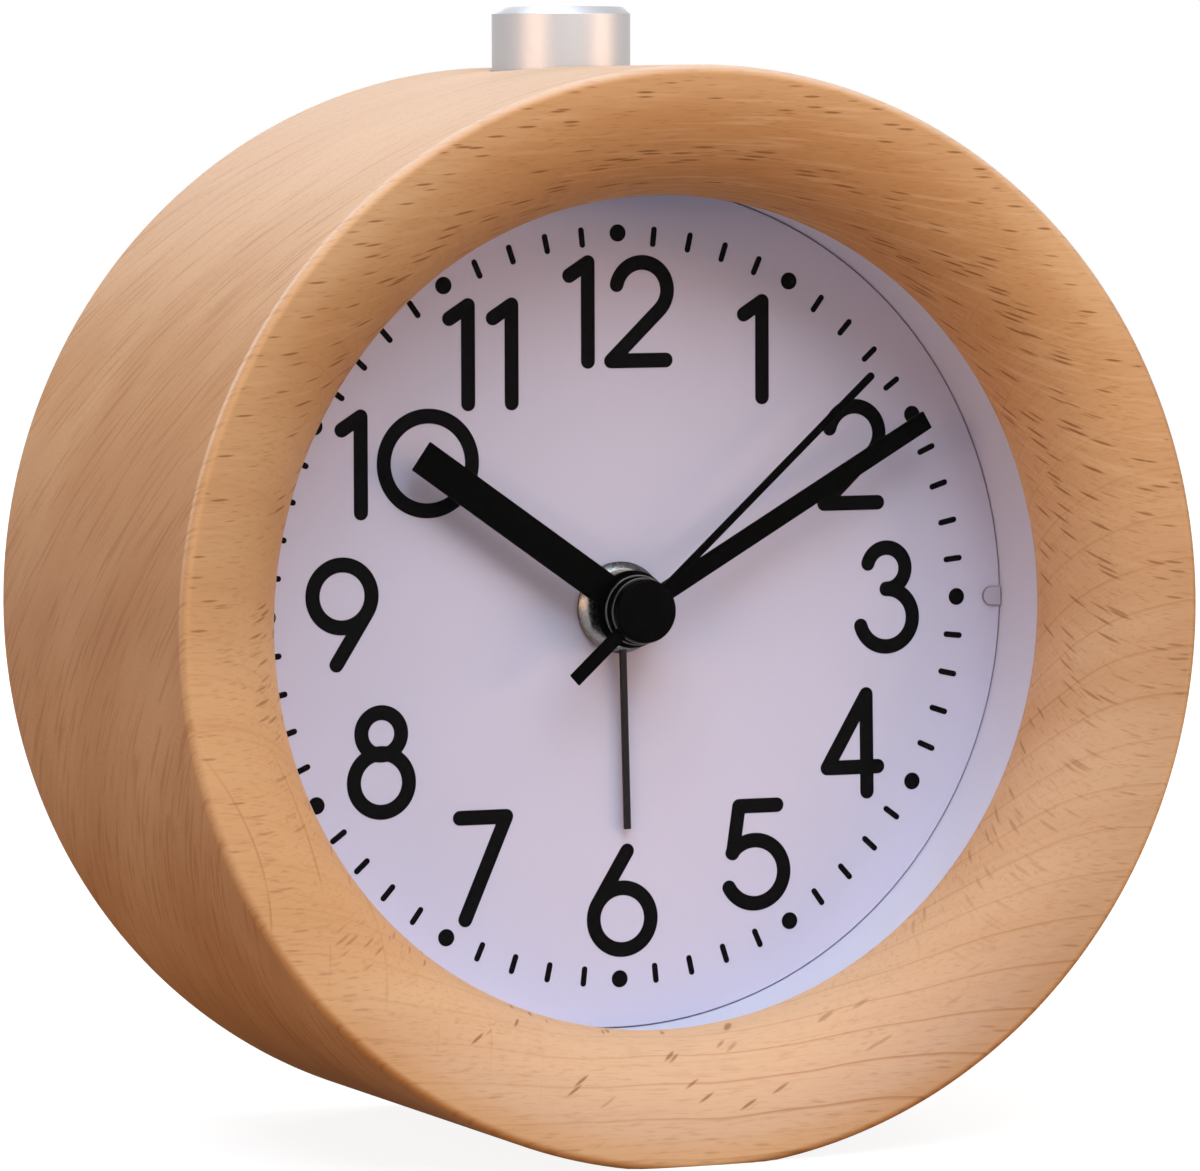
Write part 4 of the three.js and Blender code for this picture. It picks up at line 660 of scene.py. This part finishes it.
def touching(point, centre, radius, side):
    """Where a straight line from a point touches a circle, and the angle there; side is 1 for left."""
    away = Vector(centre) - Vector(point)
    lean = math.atan2(away.y, away.x) + side * math.asin(radius / away.length)
    length = math.sqrt(away.length_squared - radius ** 2)
    touch = (point[0] + length * math.cos(lean), point[1] + length * math.sin(lean))
    return touch, math.degrees(math.atan2(touch[1] - centre[1], touch[0] - centre[0]))


def stroke(*points):
    return ribbon(points, STROKE)


def bow(centre, radius, start, end):
    return ribbon(arc(centre, radius, start, end, max(6, int(abs(end - start) / 6))), STROKE)


def one(x, foot, top):
    return [stroke((x, foot), (x, top)), stroke((x, top), (x - FLAG_W, top - FLAG_H))]


def two(x, foot):
    centre = (x + TWO_BOW[0], foot + TWO_BOW[1])
    touch, angle = touching((x, foot), centre, TWO_BOW_R, -1)
    return [bow(centre, TWO_BOW_R, 168, angle), stroke(touch, (x, foot)),
            stroke((x, foot), (x + TWO_FOOT_L, foot))]


def tailed(centre, tail):
    touch, _ = touching(tail, centre, TAILED_R, -1)
    return [hoop(centre, TAILED_R), stroke(tail, touch)]


NUMERALS = [
    one(-3.0, 22.8, 31.9), two(-0.69, 22.8),
    one(14.56, 19.2, 28.1),
    two(20.9, 9.1),
    [bow((27.3, 2.86), 1.95, 165, -90), bow((27.3, -1.78), 2.72, 90, -165)],
    [stroke((25.2, -8.95), (21.2, -15.76)), stroke((21.2, -15.76), (26.4, -15.76)),
     stroke((25.2, -8.95), (25.3, -18.1))],
    [stroke((16.0, -19.0), (12.14, -19.0)), stroke((12.14, -19.0), (11.5, -23.36)),
     bow((13.74, -25.2), 2.97, 141, -152)],
    tailed((0.28, -29.0), (0.78, -22.7)),
    [stroke((-15.9, -19.0), (-11.3, -19.0)), stroke((-11.3, -19.0), (-15.4, -28.4))],
    [hoop((-23.6, -10.94), 1.95), hoop((-23.6, -15.44), 2.7)],
    tailed((-27.36, 1.76), (-27.93, -4.49)),
    one(-25.47, 9.34, 18.1), [hoop((-18.89, 13.71), 4.34)],
    one(-14.9, 19.1, 28.1), one(-10.6, 19.1, 28.1),
]
glyphs = [carved(first, *rest, operation="UNION") if rest else first for first, *rest in NUMERALS]
piece("dial_numerals", merged(*glyphs), "case", "black_metal", materials=[INK])

TRACK_R, DOT_AT, DOT_R = 34.4, 34.6, 0.8
TICK_L, TICK_HALF_W = 1.9, 0.275
track = []
for minute in range(60):
    angle = 90 - 6 * minute
    if minute % 5:
        reach = TICK_L / 2 - TICK_HALF_W
        track.append(ribbon([polar(TRACK_R - reach, angle), polar(TRACK_R + reach, angle)], TICK_HALF_W))
    else:
        track.append(rod(DOT_R, PRINT_FRONT, PRINT_REAR, SIDES_SMALL, polar(DOT_AT, angle)))
piece("dial_track", merged(*track), "case", "black_metal", materials=[INK])

# Hands: flat plates with a round hub, on bushes
# width, length and hub radius of a hand; front and rear of its plate; radius and rear of its bush
HOUR_SIZE, HOUR_PLATE, HOUR_BUSH = (3.1, 25.4, 3.6), (-8.75, -8.35), (2.9, -6.85)
MINUTE_SIZE, MINUTE_PLATE, MINUTE_BUSH = (1.8, 34.0, 3.25), (-10.05, -9.65), (2.6, -9.05)
SECOND_SIZE, SECOND_PLATE, SECOND_BUSH = (0.72, 31.7, 3.05), (-11.15, -10.85), (2.0, -10.35)
SECOND_TAIL = (9.2, 1.3)  # length and width
HAND_BEVEL, MINUTE_BEVEL = 0.07, 0.10
CAP_R, CAP_ROUND, CAP_REAR = 2.95, 0.3, -11.2
CAP_RIM, CAP_FLAT_R, CAP_FLAT, CAP_TIP = -12.15, 2.2, -12.17, -12.18  # levels of the slightly domed end
ALARM_BAR_HALF_W, ALARM_BAR_Y, ALARM_BAR_Z, ALARM_BAR_BEVEL = 0.32, (-6.3, -5.9), (3.0, 20.6), 0.06
ALARM_HUB_R, ALARM_BORE_R = 4.25, 2.5
# outline of the hub, as radius and depth
ALARM_HUB = [(ALARM_BORE_R, -5.65), (ALARM_HUB_R, -5.65), (ALARM_HUB_R, -5.9), (3.68, -6.5), (3.55, -6.55),
             (ALARM_BORE_R, -6.55)]
ALARM_SHADED = -6.0  # behind this level the hub's slope is darker


def hand_outline(width, length, hub, tail=0, tail_width=0, round_tip=False):
    half = width / 2
    tip = arc((0, length - half), half, 180, 0, 8) if round_tip else [(-half, length), (half, length)]
    start = math.degrees(math.asin(half / hub))
    points = [*tip]
    if tail:
        back = math.degrees(math.asin(tail_width / 2 / hub))
        points += arc((0, 0), hub, 90 - start, back - 90, 20)
        points += [(tail_width / 2, -tail), (-tail_width / 2, -tail)]
        points += arc((0, 0), hub, 270 - back, 90 + start, 20)
    else:
        points += arc((0, 0), hub, 90 - start, start - 270, 44)
    return points


def from_axis(face):
    """How far the middle of a face is from the axis of the hands."""
    middle = face.calc_center_median() / MM
    return math.hypot(middle.x, middle.z - AXIS_Z)


def make_hand(outline, front, rear, angle, bush, bush_rear, bevel=HAND_BEVEL, rim=None):
    """A plate on a bush; the edge of a hub with this rim radius takes the second material, a paler metal for
    a painted highlight.
    """
    plate = soften(slab(outline, front, rear, angle), bevel)
    for face in plate.faces if rim else ():
        rim_highlight = rim - 0.2 < from_axis(face) < rim + 0.05 and abs(face.normal.y) < 0.98
        face.material_index = 1 if rim_highlight else 0
    return merged(plate, rod(bush, rear - 0.1, bush_rear, SIDES_HUB))


def make_alarm_hand():
    """A thin bar on a sloped hub; the hub's slope and the bar take the second and third material."""
    bar = block(-ALARM_BAR_HALF_W, ALARM_BAR_HALF_W, *ALARM_BAR_Y, *ALARM_BAR_Z, ALARM_ANGLE)
    shape = merged(lathe(ALARM_HUB, SIDES_HUB), soften(bar, ALARM_BAR_BEVEL))
    for face in shape.faces:
        shaded = face.calc_center_median().y >= ALARM_SHADED * MM
        face.material_index = 2 if from_axis(face) > ALARM_HUB_R + 0.05 else int(shaded)
    return shape


piece("hour_hand_plate",
      make_hand(hand_outline(*HOUR_SIZE), *HOUR_PLATE, HOUR_ANGLE, *HOUR_BUSH),
      "hour", "black_metal", ["hour_hand"])
piece("minute_hand_plate",
      make_hand(hand_outline(*MINUTE_SIZE), *MINUTE_PLATE, MINUTE_ANGLE, *MINUTE_BUSH, MINUTE_BEVEL,
                MINUTE_SIZE[2]),
      "minute", "black_metal", ["minute_hand"], [BLACK_METAL, RIM_PAINTED_HIGHLIGHT])
piece("second_hand_plate",
      make_hand(hand_outline(*SECOND_SIZE, *SECOND_TAIL, True), *SECOND_PLATE, SECOND_ANGLE, *SECOND_BUSH,
                HAND_BEVEL, SECOND_SIZE[2]),
      "second", "black_metal", ["second_hand"], [BLACK_METAL, RIM_PAINTED_HIGHLIGHT])
piece("second_hand_cap",
      lathe([(0, CAP_REAR), (CAP_R, CAP_REAR),
             *arc((CAP_R - CAP_ROUND, CAP_RIM + CAP_ROUND), CAP_ROUND, 0, -90, 6),
             (CAP_FLAT_R, CAP_FLAT), (0, CAP_TIP)], SIDES_HUB),
      "second", "black_metal", ["second_cap"])
piece("alarm_hand_plate", make_alarm_hand(), "alarm", "nickel", ["alarm_hand"],
      [HUB_NICKEL, SHADED_NICKEL, DARK_NICKEL])


# Snooze button, and under it a spring
BUTTON_CHAMFER, BUTTON_EDGE = 0.62, 0.12
BUTTON_WALL, BUTTON_ROOF = 1.2, 2.2
STEM_R, STEM_END = 1.6, 40.35
NECK_R, NECK_LOW, NECK_HIGH = 1.2, 41.8, 42.5  # the stem's groove for its clip
SPRING_R, SPRING_WIRE_R, SPRING_TURNS, SPRING_END_PITCH = 3.4, 0.3, 5, 0.66
SPRING_STEPS, SPRING_SIDES = 40, 12  # in a turn, and round the wire


def make_button():
    top, edge = BUTTON_TOP, BUTTON_EDGE
    inner, roof = BUTTON_R - BUTTON_WALL, BUTTON_TOP - BUTTON_ROOF
    profile = [(0, top), *arc((BUTTON_R - BUTTON_CHAMFER - edge, top - edge), edge, 90, 45, 3),
               *arc((BUTTON_R - edge, top - BUTTON_CHAMFER - edge), edge, 45, 0, 3),
               (BUTTON_R, BUTTON_SKIRT), (inner, BUTTON_SKIRT), (inner, roof), (STEM_R, roof),
               (STEM_R, NECK_HIGH), (NECK_R, NECK_HIGH), (NECK_R, NECK_LOW), (STEM_R, NECK_LOW),
               (STEM_R, STEM_END), (0, STEM_END)]
    return lathe(profile, SIDES_HUB * 2, (0, BUTTON_Y), upright=True)


def make_spring(foot, top):
    """A coil of round wire between two heights; its first and its last turn lie almost closed."""
    wire, count = SPRING_WIRE_R, SPRING_TURNS * SPRING_STEPS
    open_pitch = (top - foot - 2 * wire - 2 * SPRING_END_PITCH) / (SPRING_TURNS - 2)
    heights = [foot + wire]
    for i in range(count):
        closed = i < SPRING_STEPS or i >= count - SPRING_STEPS
        heights.append(heights[-1] + (SPRING_END_PITCH if closed else open_pitch) / SPRING_STEPS)
    rings = []
    for i, height in enumerate(heights):
        turn = 360 * i / SPRING_STEPS
        section = arc((SPRING_R, height), wire, 0, 360, SPRING_SIDES)[:-1]
        rings.append([at(*polar(radius, turn, (0, BUTTON_Y)), level) for radius, level in section])
    return skinned(rings)


piece("snooze_cap", make_button(), "snooze", "satin_silver", ["snooze_button"])
spring_low, spring_high = (corner.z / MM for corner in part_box("snooze_spring"))
spring = piece("snooze_coil", make_spring(spring_low - AXIS_Z, spring_high - AXIS_Z), "case", "steel",
               ["snooze_spring"])
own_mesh(spring)


# Rear cover with its openings, a grooved rim and raised surrounds
COVER_CHAMFER = 0.4
GROOVE_AT, GROOVE_W, GROOVE_SLOPE, GROOVE_DEPTH = 2.2, 1.2, 0.3, 0.35
COVER_SUNK = COVER_REAR - 0.1  # raised forms start just below the cover's face
DOOR_GAP, DOOR_HALF_T = 0.25, 1.0
SLOT_HALF_W, SLOT_LOW, SLOT_HIGH = 4.8, SWITCH_Z - 2, SWITCH_Z + 2  # for the switch
SOUND_HOLE_R, SOUND_HOLES_AT, STEM_HOLE_R = 0.9, 3.2, 1.4
RING_EDGE = 0.12
# inner radius, outer radius and height of the raised rings
KNOB_RING, SOUND_RING = (7.0, 7.7, 0.35), (4.9, 5.4, 0.3)
LETTER_RING, CLOCK_RING = (0.85, 1.2, 0.2), (1.15, 1.5, 0.2)
ARROW_R, ARROW_HALF_W, ARROW_HEIGHT = 9.4, 0.35, 0.25
ARROW_START, ARROW_END, ARROW_POINT = 60, 120, 129  # degrees round the knob
SLOT_RIM_W, SLOT_RIM_H, SLOT_RIM_BEVEL = 0.7, 0.3, 0.1


def make_cover():
    outer, floor = COVER_R - GROOVE_AT, COVER_REAR - GROOVE_DEPTH
    inner = outer - GROOVE_W
    disc = lathe([(0, COVER_FRONT), (COVER_R, COVER_FRONT), (COVER_R, COVER_REAR - COVER_CHAMFER),
                  (COVER_R - COVER_CHAMFER, COVER_REAR), (outer, COVER_REAR), (outer - GROOVE_SLOPE, floor),
                  (inner + GROOVE_SLOPE, floor), (inner, COVER_REAR), (0, COVER_REAR)], SIDES_DIAL)
    front, rear = COVER_FRONT - 1, COVER_REAR + 1
    half = DOOR_HALF_W + DOOR_GAP
    tools = [block(-half, half, front, rear, DOOR_HINGE_Z - DOOR_HALF_T - DOOR_GAP, DOOR_TOP + DOOR_GAP),
             block(-SLOT_HALF_W, SLOT_HALF_W, front, rear, SLOT_LOW, SLOT_HIGH)]
    holes = [(SOUND_POINT, SOUND_HOLE_R), ((TIME_X, 0), STEM_HOLE_R), ((ALARM_X, 0), STEM_HOLE_R)]
    holes += [(polar(SOUND_HOLES_AT, 60 * k, SOUND_POINT), SOUND_HOLE_R) for k in range(6)]
    tools += [rod(radius, front, rear, SIDES_SMALL, centre) for centre, radius in holes]
    return carved(disc, *tools)


def raised_ring(centre, inner, outer, height):
    edge, top = RING_EDGE, COVER_REAR + height
    return lathe([(inner, COVER_SUNK), (inner, top - edge), (inner + edge, top), (outer - edge, top),
                  (outer, top - edge), (outer, COVER_SUNK)], SIDES_HUB, centre)


def curved_arrow(centre):
    """A raised arrow round a knob, which shows how it turns."""
    top = COVER_REAR + ARROW_HEIGHT
    inner = arc(centre, ARROW_R - ARROW_HALF_W, ARROW_END, ARROW_START, 16)
    outer = arc(centre, ARROW_R + ARROW_HALF_W, ARROW_START, ARROW_END, 16)
    barbs = [polar(ARROW_R + side * 3 * ARROW_HALF_W, ARROW_END - 1, centre) for side in (-1, 1)]
    head = slab([*barbs, polar(ARROW_R, ARROW_POINT, centre)], COVER_SUNK, top)
    return carved(slab(inner + outer, COVER_SUNK, top), head, operation="UNION")


def frame_round(x0, x1, z0, z1):
    """A raised frame round an opening."""
    width, top = SLOT_RIM_W, COVER_REAR + SLOT_RIM_H
    outer = block(x0 - width, x1 + width, COVER_SUNK, top, z0 - width, z1 + width)
    return soften(carved(outer, block(x0, x1, COVER_REAR - 1, top + 1, z0, z1)), SLOT_RIM_BEVEL)


piece("rear_cover_moulding", make_cover(), "case", "black_plastic", ["rear_cover"])
surrounds = [raised_ring((x, 0), *KNOB_RING) for x in (TIME_X, ALARM_X)]
surrounds += [curved_arrow((x, 0)) for x in (TIME_X, ALARM_X)]
surrounds += [raised_ring(SOUND_POINT, *SOUND_RING),
              frame_round(-SLOT_HALF_W, SLOT_HALF_W, SLOT_LOW, SLOT_HIGH)]
piece("rear_cover_surrounds", merged(*surrounds), "case", "black_plastic")

# Raised marks on the cover, drawn as seen from behind: right there is -X
MARK_HALF, MARK_TOP = 0.19, COVER_REAR + 0.2
ON_X, OFF_X = (10.2, 7.6), (-7.4, -9.9, -12.0)  # places of the letters
ICON_Z = -10.7
CLAPPER_R, CLAPPER_DROP = 0.35, 1.35


def mark(centre, *strokes):
    """Raised lines about a centre, joined into one skin."""
    lines = [ribbon([(centre[0] - u, centre[1] + v) for u, v in line], MARK_HALF, COVER_SUNK, MARK_TOP)
             for line in strokes]
    return carved(lines[0], *lines[1:], operation="UNION")


def letter_o(x):
    return raised_ring((x, SWITCH_Z), *LETTER_RING)


def letter_n(x):
    return mark((x, SWITCH_Z), [(-0.7, -1), (-0.7, 1)], [(-0.7, 1), (0.7, -1)], [(0.7, -1), (0.7, 1)])


def letter_f(x):
    return mark((x, SWITCH_Z), [(-0.6, -1), (-0.6, 1)], [(-0.6, 1), (0.6, 1)], [(-0.6, 0), (0.4, 0)])


bell = [(-1.5, -0.9), (1.5, -0.9), (1.0, -0.3), *arc((0, 0.3), 0.9, 0, 180, 12), (-1.0, -0.3)]
bell = [(ALARM_X + u, ICON_Z + v) for u, v in bell]
cover_marks = [
    letter_o(ON_X[0]), letter_n(ON_X[1]),
    letter_o(OFF_X[0]), letter_f(OFF_X[1]), letter_f(OFF_X[2]),
    raised_ring((TIME_X, ICON_Z), *CLOCK_RING),
    mark((TIME_X, ICON_Z), [(0, 0.75), (0, 0)], [(0, 0), (0.55, 0)]),
    slab(bell, COVER_SUNK, MARK_TOP),
    rod(CLAPPER_R, COVER_SUNK, MARK_TOP, SIDES_SMALL, (ALARM_X, ICON_Z - CLAPPER_DROP)),
]
piece("rear_cover_marks", merged(*cover_marks), "case", "white_plastic", materials=[MARK_WHITE])


# Screws of the cover
SCREW_TIP, SCREW_SEAT, SCREW_TOP, SCREW_R = 9.25, COVER_REAR + 0.05, 18.6, 0.9
SCREW_HEAD = [(2.0, 0), (2.0, 0.45), (1.85, 0.85), (1.45, 1.18), (0.9, 1.28)]  # radius, height over the seat
CROSS_HALF_W, CROSS_HALF_L, CROSS_DEPTH = 0.3, 1.35, 0.65


def make_screw(x, z):
    head = lathe([(0, SCREW_TIP), (SCREW_R, SCREW_TIP), (SCREW_R, SCREW_SEAT),
                  *[(radius, SCREW_SEAT + height) for radius, height in SCREW_HEAD], (0, SCREW_TOP)],
                 SIDES_SMALL, (x, z))
    cross = [block(x - u, x + u, SCREW_TOP - CROSS_DEPTH, SCREW_TOP + 1, z - v, z + v)
             for u, v in ((CROSS_HALF_W, CROSS_HALF_L), (CROSS_HALF_L, CROSS_HALF_W))]
    return carved(head, *cross)


for number in (1, 2, 3, 4):
    low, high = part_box(f"cover_screw_{number}")
    middle = (low + high) / 2 / MM
    piece(f"cover_screw_head_{number}", make_screw(middle.x, middle.z - AXIS_Z), "case", "steel",
          [f"cover_screw_{number}"])

# Set knobs and alarm switch
KNOB_RIBS, KNOB_SIDES, KNOB_GROOVE, KNOB_STEEP = 18, 18 * 12, 0.5, 2.5
KNOB_SOCKET_R, KNOB_SOCKET_L, KNOB_FACE_R = 1.05, 4.4, 4.9
# rounding of the ribs, as inset and distance from the knob's end
KNOB_ROUND_FRONT, KNOB_ROUND_REAR = [(0.3, 0.1), (0, 0.4)], [(0, 0.5), (0.12, 0.2), (0.45, 0)]
KNOB_DISH = [(4.3, 0), (4.0, 0.3), (2.0, 0.55), (0.6, 0.6)]  # radius and depth of the hollow end
SLIDER_X, SLIDER_Y, SLIDER_HALF_H, SLIDER_BEVEL = (-8.9, 4.9), (14.05, 15.05), 3.2, 0.15
THUMB_X, THUMB_Y, THUMB_HALF_H, THUMB_BEVEL = (-4.5, 0.5), (14.5, 19.85), 1.7, 0.25
THUMB_RIBS, RIB_HALF_W = (-3.8, -2.9, -2.0, -1.1, -0.2), 0.28
RIB_Y, RIB_HALF_H, RIB_BEVEL = (19.6, 20.25), 1.45, 0.2


def make_knob(x):
    """A ribbed knob with a dished end."""
    def circle(radius):
        return [polar(radius, 360 * k / KNOB_SIDES, (x, 0)) for k in range(KNOB_SIDES)]

    def ribbed(inset):
        points = []
        for k in range(KNOB_SIDES):
            wave = math.cos(2 * math.pi * k * KNOB_RIBS / KNOB_SIDES)
            groove = KNOB_GROOVE * (0.5 - 0.5 * math.tanh(KNOB_STEEP * wave) / math.tanh(KNOB_STEEP))
            points.append(polar(KNOB_R - groove - inset, 360 * k / KNOB_SIDES, (x, 0)))
        return points

    levels = [(circle(KNOB_SOCKET_R), KNOB_FRONT + KNOB_SOCKET_L), (circle(KNOB_SOCKET_R), KNOB_FRONT),
              (circle(KNOB_FACE_R), KNOB_FRONT)]
    levels += [(ribbed(inset), KNOB_FRONT + step) for inset, step in KNOB_ROUND_FRONT]
    levels += [(ribbed(inset), KNOB_REAR - step) for inset, step in KNOB_ROUND_REAR]
    levels += [(circle(radius), KNOB_REAR - step) for radius, step in KNOB_DISH]
    return skinned([[at(a, y, b) for a, b in points] for points, y in levels])


def switch_block(x0, x1, y_range, half_height, bevel, segments):
    """A softened block at the height of the alarm switch."""
    return soften(block(x0, x1, *y_range, SWITCH_Z - half_height, SWITCH_Z + half_height), bevel, segments)


def make_slider():
    base = switch_block(*SLIDER_X, SLIDER_Y, SLIDER_HALF_H, SLIDER_BEVEL, 2)
    thumb = switch_block(*THUMB_X, THUMB_Y, THUMB_HALF_H, THUMB_BEVEL, 3)
    ribs = [switch_block(x - RIB_HALF_W, x + RIB_HALF_W, RIB_Y, RIB_HALF_H, RIB_BEVEL, 3)
            for x in THUMB_RIBS]
    return merged(base, thumb, *ribs)


for use, x in (("time", TIME_X), ("alarm", ALARM_X)):
    piece(f"{use}_knob", make_knob(x), f"{use}_set", "black_plastic", [f"{use}_set_knob"])
piece("alarm_slider_knob", make_slider(), "alarm_switch", "black_plastic", ["alarm_switch_slider"])

# Battery door and cell
DOOR_BEVEL = 0.18
NOTCH_R, NOTCH_SLOPE = 3.0, 0.4  # for a finger, at the door's upper edge
PIN_R, PIN_HALF_L = 0.55, 27.75
DOOR_RIBS_Z, DOOR_RIB_HALF_W, DOOR_RIB_HALF_H = (-19.2, -20.6, -22.0), 9, 0.3
DOOR_RIB_SUNK, DOOR_RIB_PROUD, DOOR_RIB_BEVEL = 0.2, 0.3, 0.15
CELL_EDGE, CELL_RIM_W, CELL_RIM_SLOPE, CELL_STEP = 0.35, 1.0, 0.2, 0.15
NUB_EDGE, NUB_FOOT = 0.3, 0.1


def sideways(bm, centre):
    """Turns a shape made about the clock's axis to run along X, through a centre."""
    turn = Matrix.Rotation(math.radians(-90), 4, "Z")
    matrix = Matrix.Translation(centre) @ turn @ Matrix.Translation(-at(0, 0, 0))
    bmesh.ops.transform(bm, matrix=matrix, verts=bm.verts)
    return bm


def make_door():
    """The door's section is drawn in Y and Z, round along its hinge, and runs along X."""
    rear, front = DOOR_Y + DOOR_HALF_T, DOOR_Y - DOOR_HALF_T
    section = [(front, DOOR_TOP), (rear, DOOR_TOP), (rear, DOOR_HINGE_Z),
               *arc((DOOR_Y, DOOR_HINGE_Z), DOOR_HALF_T, 0, -180, 12)[1:-1], (front, DOOR_HINGE_Z)]
    panel = prism([at(-DOOR_HALF_W, y, z) for y, z in section], (2 * DOOR_HALF_W * MM, 0, 0))
    notch = lathe([(0, DOOR_Y), (NOTCH_R - NOTCH_SLOPE, DOOR_Y), (NOTCH_R, DOOR_Y + NOTCH_SLOPE),
                   (NOTCH_R, rear + 1), (0, rear + 1)], SIDES_SMALL, (0, DOOR_TOP))
    panel = soften(carved(panel, notch), DOOR_BEVEL)
    pins = sideways(rod(PIN_R, -PIN_HALF_L, PIN_HALF_L, SIDES_SMALL), at(0, DOOR_Y, DOOR_HINGE_Z))
    ribs = [soften(block(-DOOR_RIB_HALF_W, DOOR_RIB_HALF_W, rear - DOOR_RIB_SUNK, rear + DOOR_RIB_PROUD,
                         z - DOOR_RIB_HALF_H, z + DOOR_RIB_HALF_H), DOOR_RIB_BEVEL) for z in DOOR_RIBS_Z]
    return merged(panel, pins, *ribs)


def make_battery():
    """A can with a rolled sleeve at both ends and a nub, positive end at +X."""
    radius, half, nub, edge = CELL_R, CELL_HALF_L, CELL_NUB_R, CELL_EDGE
    rim, shoulder = CELL_R - CELL_RIM_W, CELL_HALF_L - CELL_NUB_L
    profile = [(0, -half), (rim - CELL_RIM_SLOPE, -half), (rim, -half + CELL_STEP),
               *arc((radius - edge, -half + edge), edge, -90, 0, 5),
               *arc((radius - edge, shoulder - edge), edge, 0, 90, 5),
               (rim, shoulder - CELL_STEP), (nub + NUB_FOOT, shoulder - CELL_STEP),
               (nub, shoulder + NUB_FOOT),
               *arc((nub - NUB_EDGE, half - NUB_EDGE), NUB_EDGE, 0, 90, 4), (0, half)]
    low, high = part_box("battery_cell")
    return sideways(lathe(profile, SIDES_HUB), (low + high) / 2)


piece("battery_door_panel", make_door(), "door", "black_plastic", ["battery_door"])
piece("battery_can", make_battery(), "case", "cell_sleeve", ["battery_cell"])


# Floor and light: both floor and world look white, and give little light themselves
FLOOR_HALF = 3000
PAPER_DARK, PAPER_PALE = tone(0.205, 0.20, 0.195), tone(0.215, 0.21, 0.205)
GLOW_NEAR, GLOW_NEAR_TO, GLOW_FAR_FROM = 0.90, 120, 420  # a little less white round the clock
WHITE = tone(1, 1, 1)
WORLD_COLOUR, WORLD_LIGHT = tone(0.97, 0.98, 1.0), 0.05


def make_floor():
    g = Graph("floor")
    mm = g.millimetres()
    paper = g.mix(g.noise(mm, 0.05), PAPER_DARK, PAPER_PALE)
    matte = g.add("ShaderNodeBsdfDiffuse", {"Color": paper}).outputs[0]
    glow = g.times(g.seen(), g.range(g.length(mm), GLOW_NEAR_TO, GLOW_FAR_FROM, GLOW_NEAR, 1.0))
    white = g.add("ShaderNodeEmission", {"Color": WHITE, "Strength": glow}).outputs[0]
    both = g.add("ShaderNodeAddShader", {0: matte, 1: white}).outputs[0]
    g.add("ShaderNodeOutputMaterial", {"Surface": both})
    return g.owner


ground = bmesh.new()
bmesh.ops.create_grid(ground, x_segments=1, y_segments=1, size=FLOOR_HALF * MM)
floor = loose(ground, "floor")
floor.data.materials.append(make_floor())

SCENE.world = bpy.data.worlds.new("studio")
studio = Graph("studio", SCENE.world)
dim = studio.add("ShaderNodeBackground", {"Color": WORLD_COLOUR, "Strength": WORLD_LIGHT}).outputs[0]
white = studio.add("ShaderNodeBackground", {"Color": WHITE, "Strength": 1.0}).outputs[0]
backdrop = studio.add("ShaderNodeMixShader", {0: studio.seen(), 1: dim, 2: white}).outputs[0]
studio.add("ShaderNodeOutputWorld", {"Surface": backdrop})

MIDDLE = Vector((0, 0, 0.05))  # what the lights aim at, in metres


def softbox(name, place, width, height, power, colour):
    """An area light; place and size are in metres."""
    light = bpy.data.lights.new(name, "AREA")
    light.color = colour
    light.shape, light.size, light.size_y, light.energy = "RECTANGLE", width, height, power
    obj = bpy.data.objects.new(name, light)
    SCENE.collection.objects.link(obj)
    obj.location = place
    obj.rotation_euler = (MIDDLE - Vector(place)).to_track_quat("-Z", "Y").to_euler()


softbox("top", (-0.25, -0.05, 0.95), 0.8, 0.7, 6.2, (0.90, 0.98, 1.12))
softbox("sky", (-0.20, -0.60, 0.85), 0.8, 0.7, 4.7, (0.68, 1.02, 1.26))
softbox("front", (0.15, -0.75, 0.75), 0.9, 0.75, 4.6, (0.97, 1.0, 1.0))
softbox("low fill", (-0.05, -1.10, 0.17), 0.9, 0.28, 0.9, (1.0, 0.86, 0.72))
softbox("warm left", (-0.92, -0.42, 0.12), 0.7, 0.35, 4.3, (1.0, 0.60, 0.36))
softbox("warm right", (0.80, -0.70, 0.15), 0.6, 0.3, 3.5, (1.0, 0.64, 0.41))
softbox("rear", (0.30, 0.95, 0.60), 0.7, 0.5, 5.0, (1.0, 1.0, 1.0))

# Camera, fitted to the photograph
VIEW_AZIMUTH, VIEW_ELEVATION, VIEW_ROLL = -22.755, 3.704, -0.174
VIEW_DISTANCE = 0.68609
VIEW_TARGET = Vector((-1.86, -5.35, 51.552)) * MM
VIEW_LENS = 222.61
SENSOR = 36.0

azimuth, elevation = math.radians(VIEW_AZIMUTH), math.radians(VIEW_ELEVATION)
back = Vector((math.sin(azimuth) * math.cos(elevation), -math.cos(azimuth) * math.cos(elevation),
               math.sin(elevation)))
lens = bpy.data.cameras.new("camera")
lens.lens, lens.sensor_width, lens.sensor_fit = VIEW_LENS, SENSOR, "HORIZONTAL"
lens.clip_start, lens.clip_end = 0.01, 20
camera = bpy.data.objects.new("camera", lens)
SCENE.collection.objects.link(camera)
facing = back.to_track_quat("Z", "Y").to_matrix().to_4x4()
camera.matrix_world = (Matrix.Translation(VIEW_TARGET + back * VIEW_DISTANCE) @ facing
                       @ Matrix.Rotation(math.radians(VIEW_ROLL), 4, "Z"))
SCENE.camera = camera
SCENE.view_settings.view_transform = "Standard"
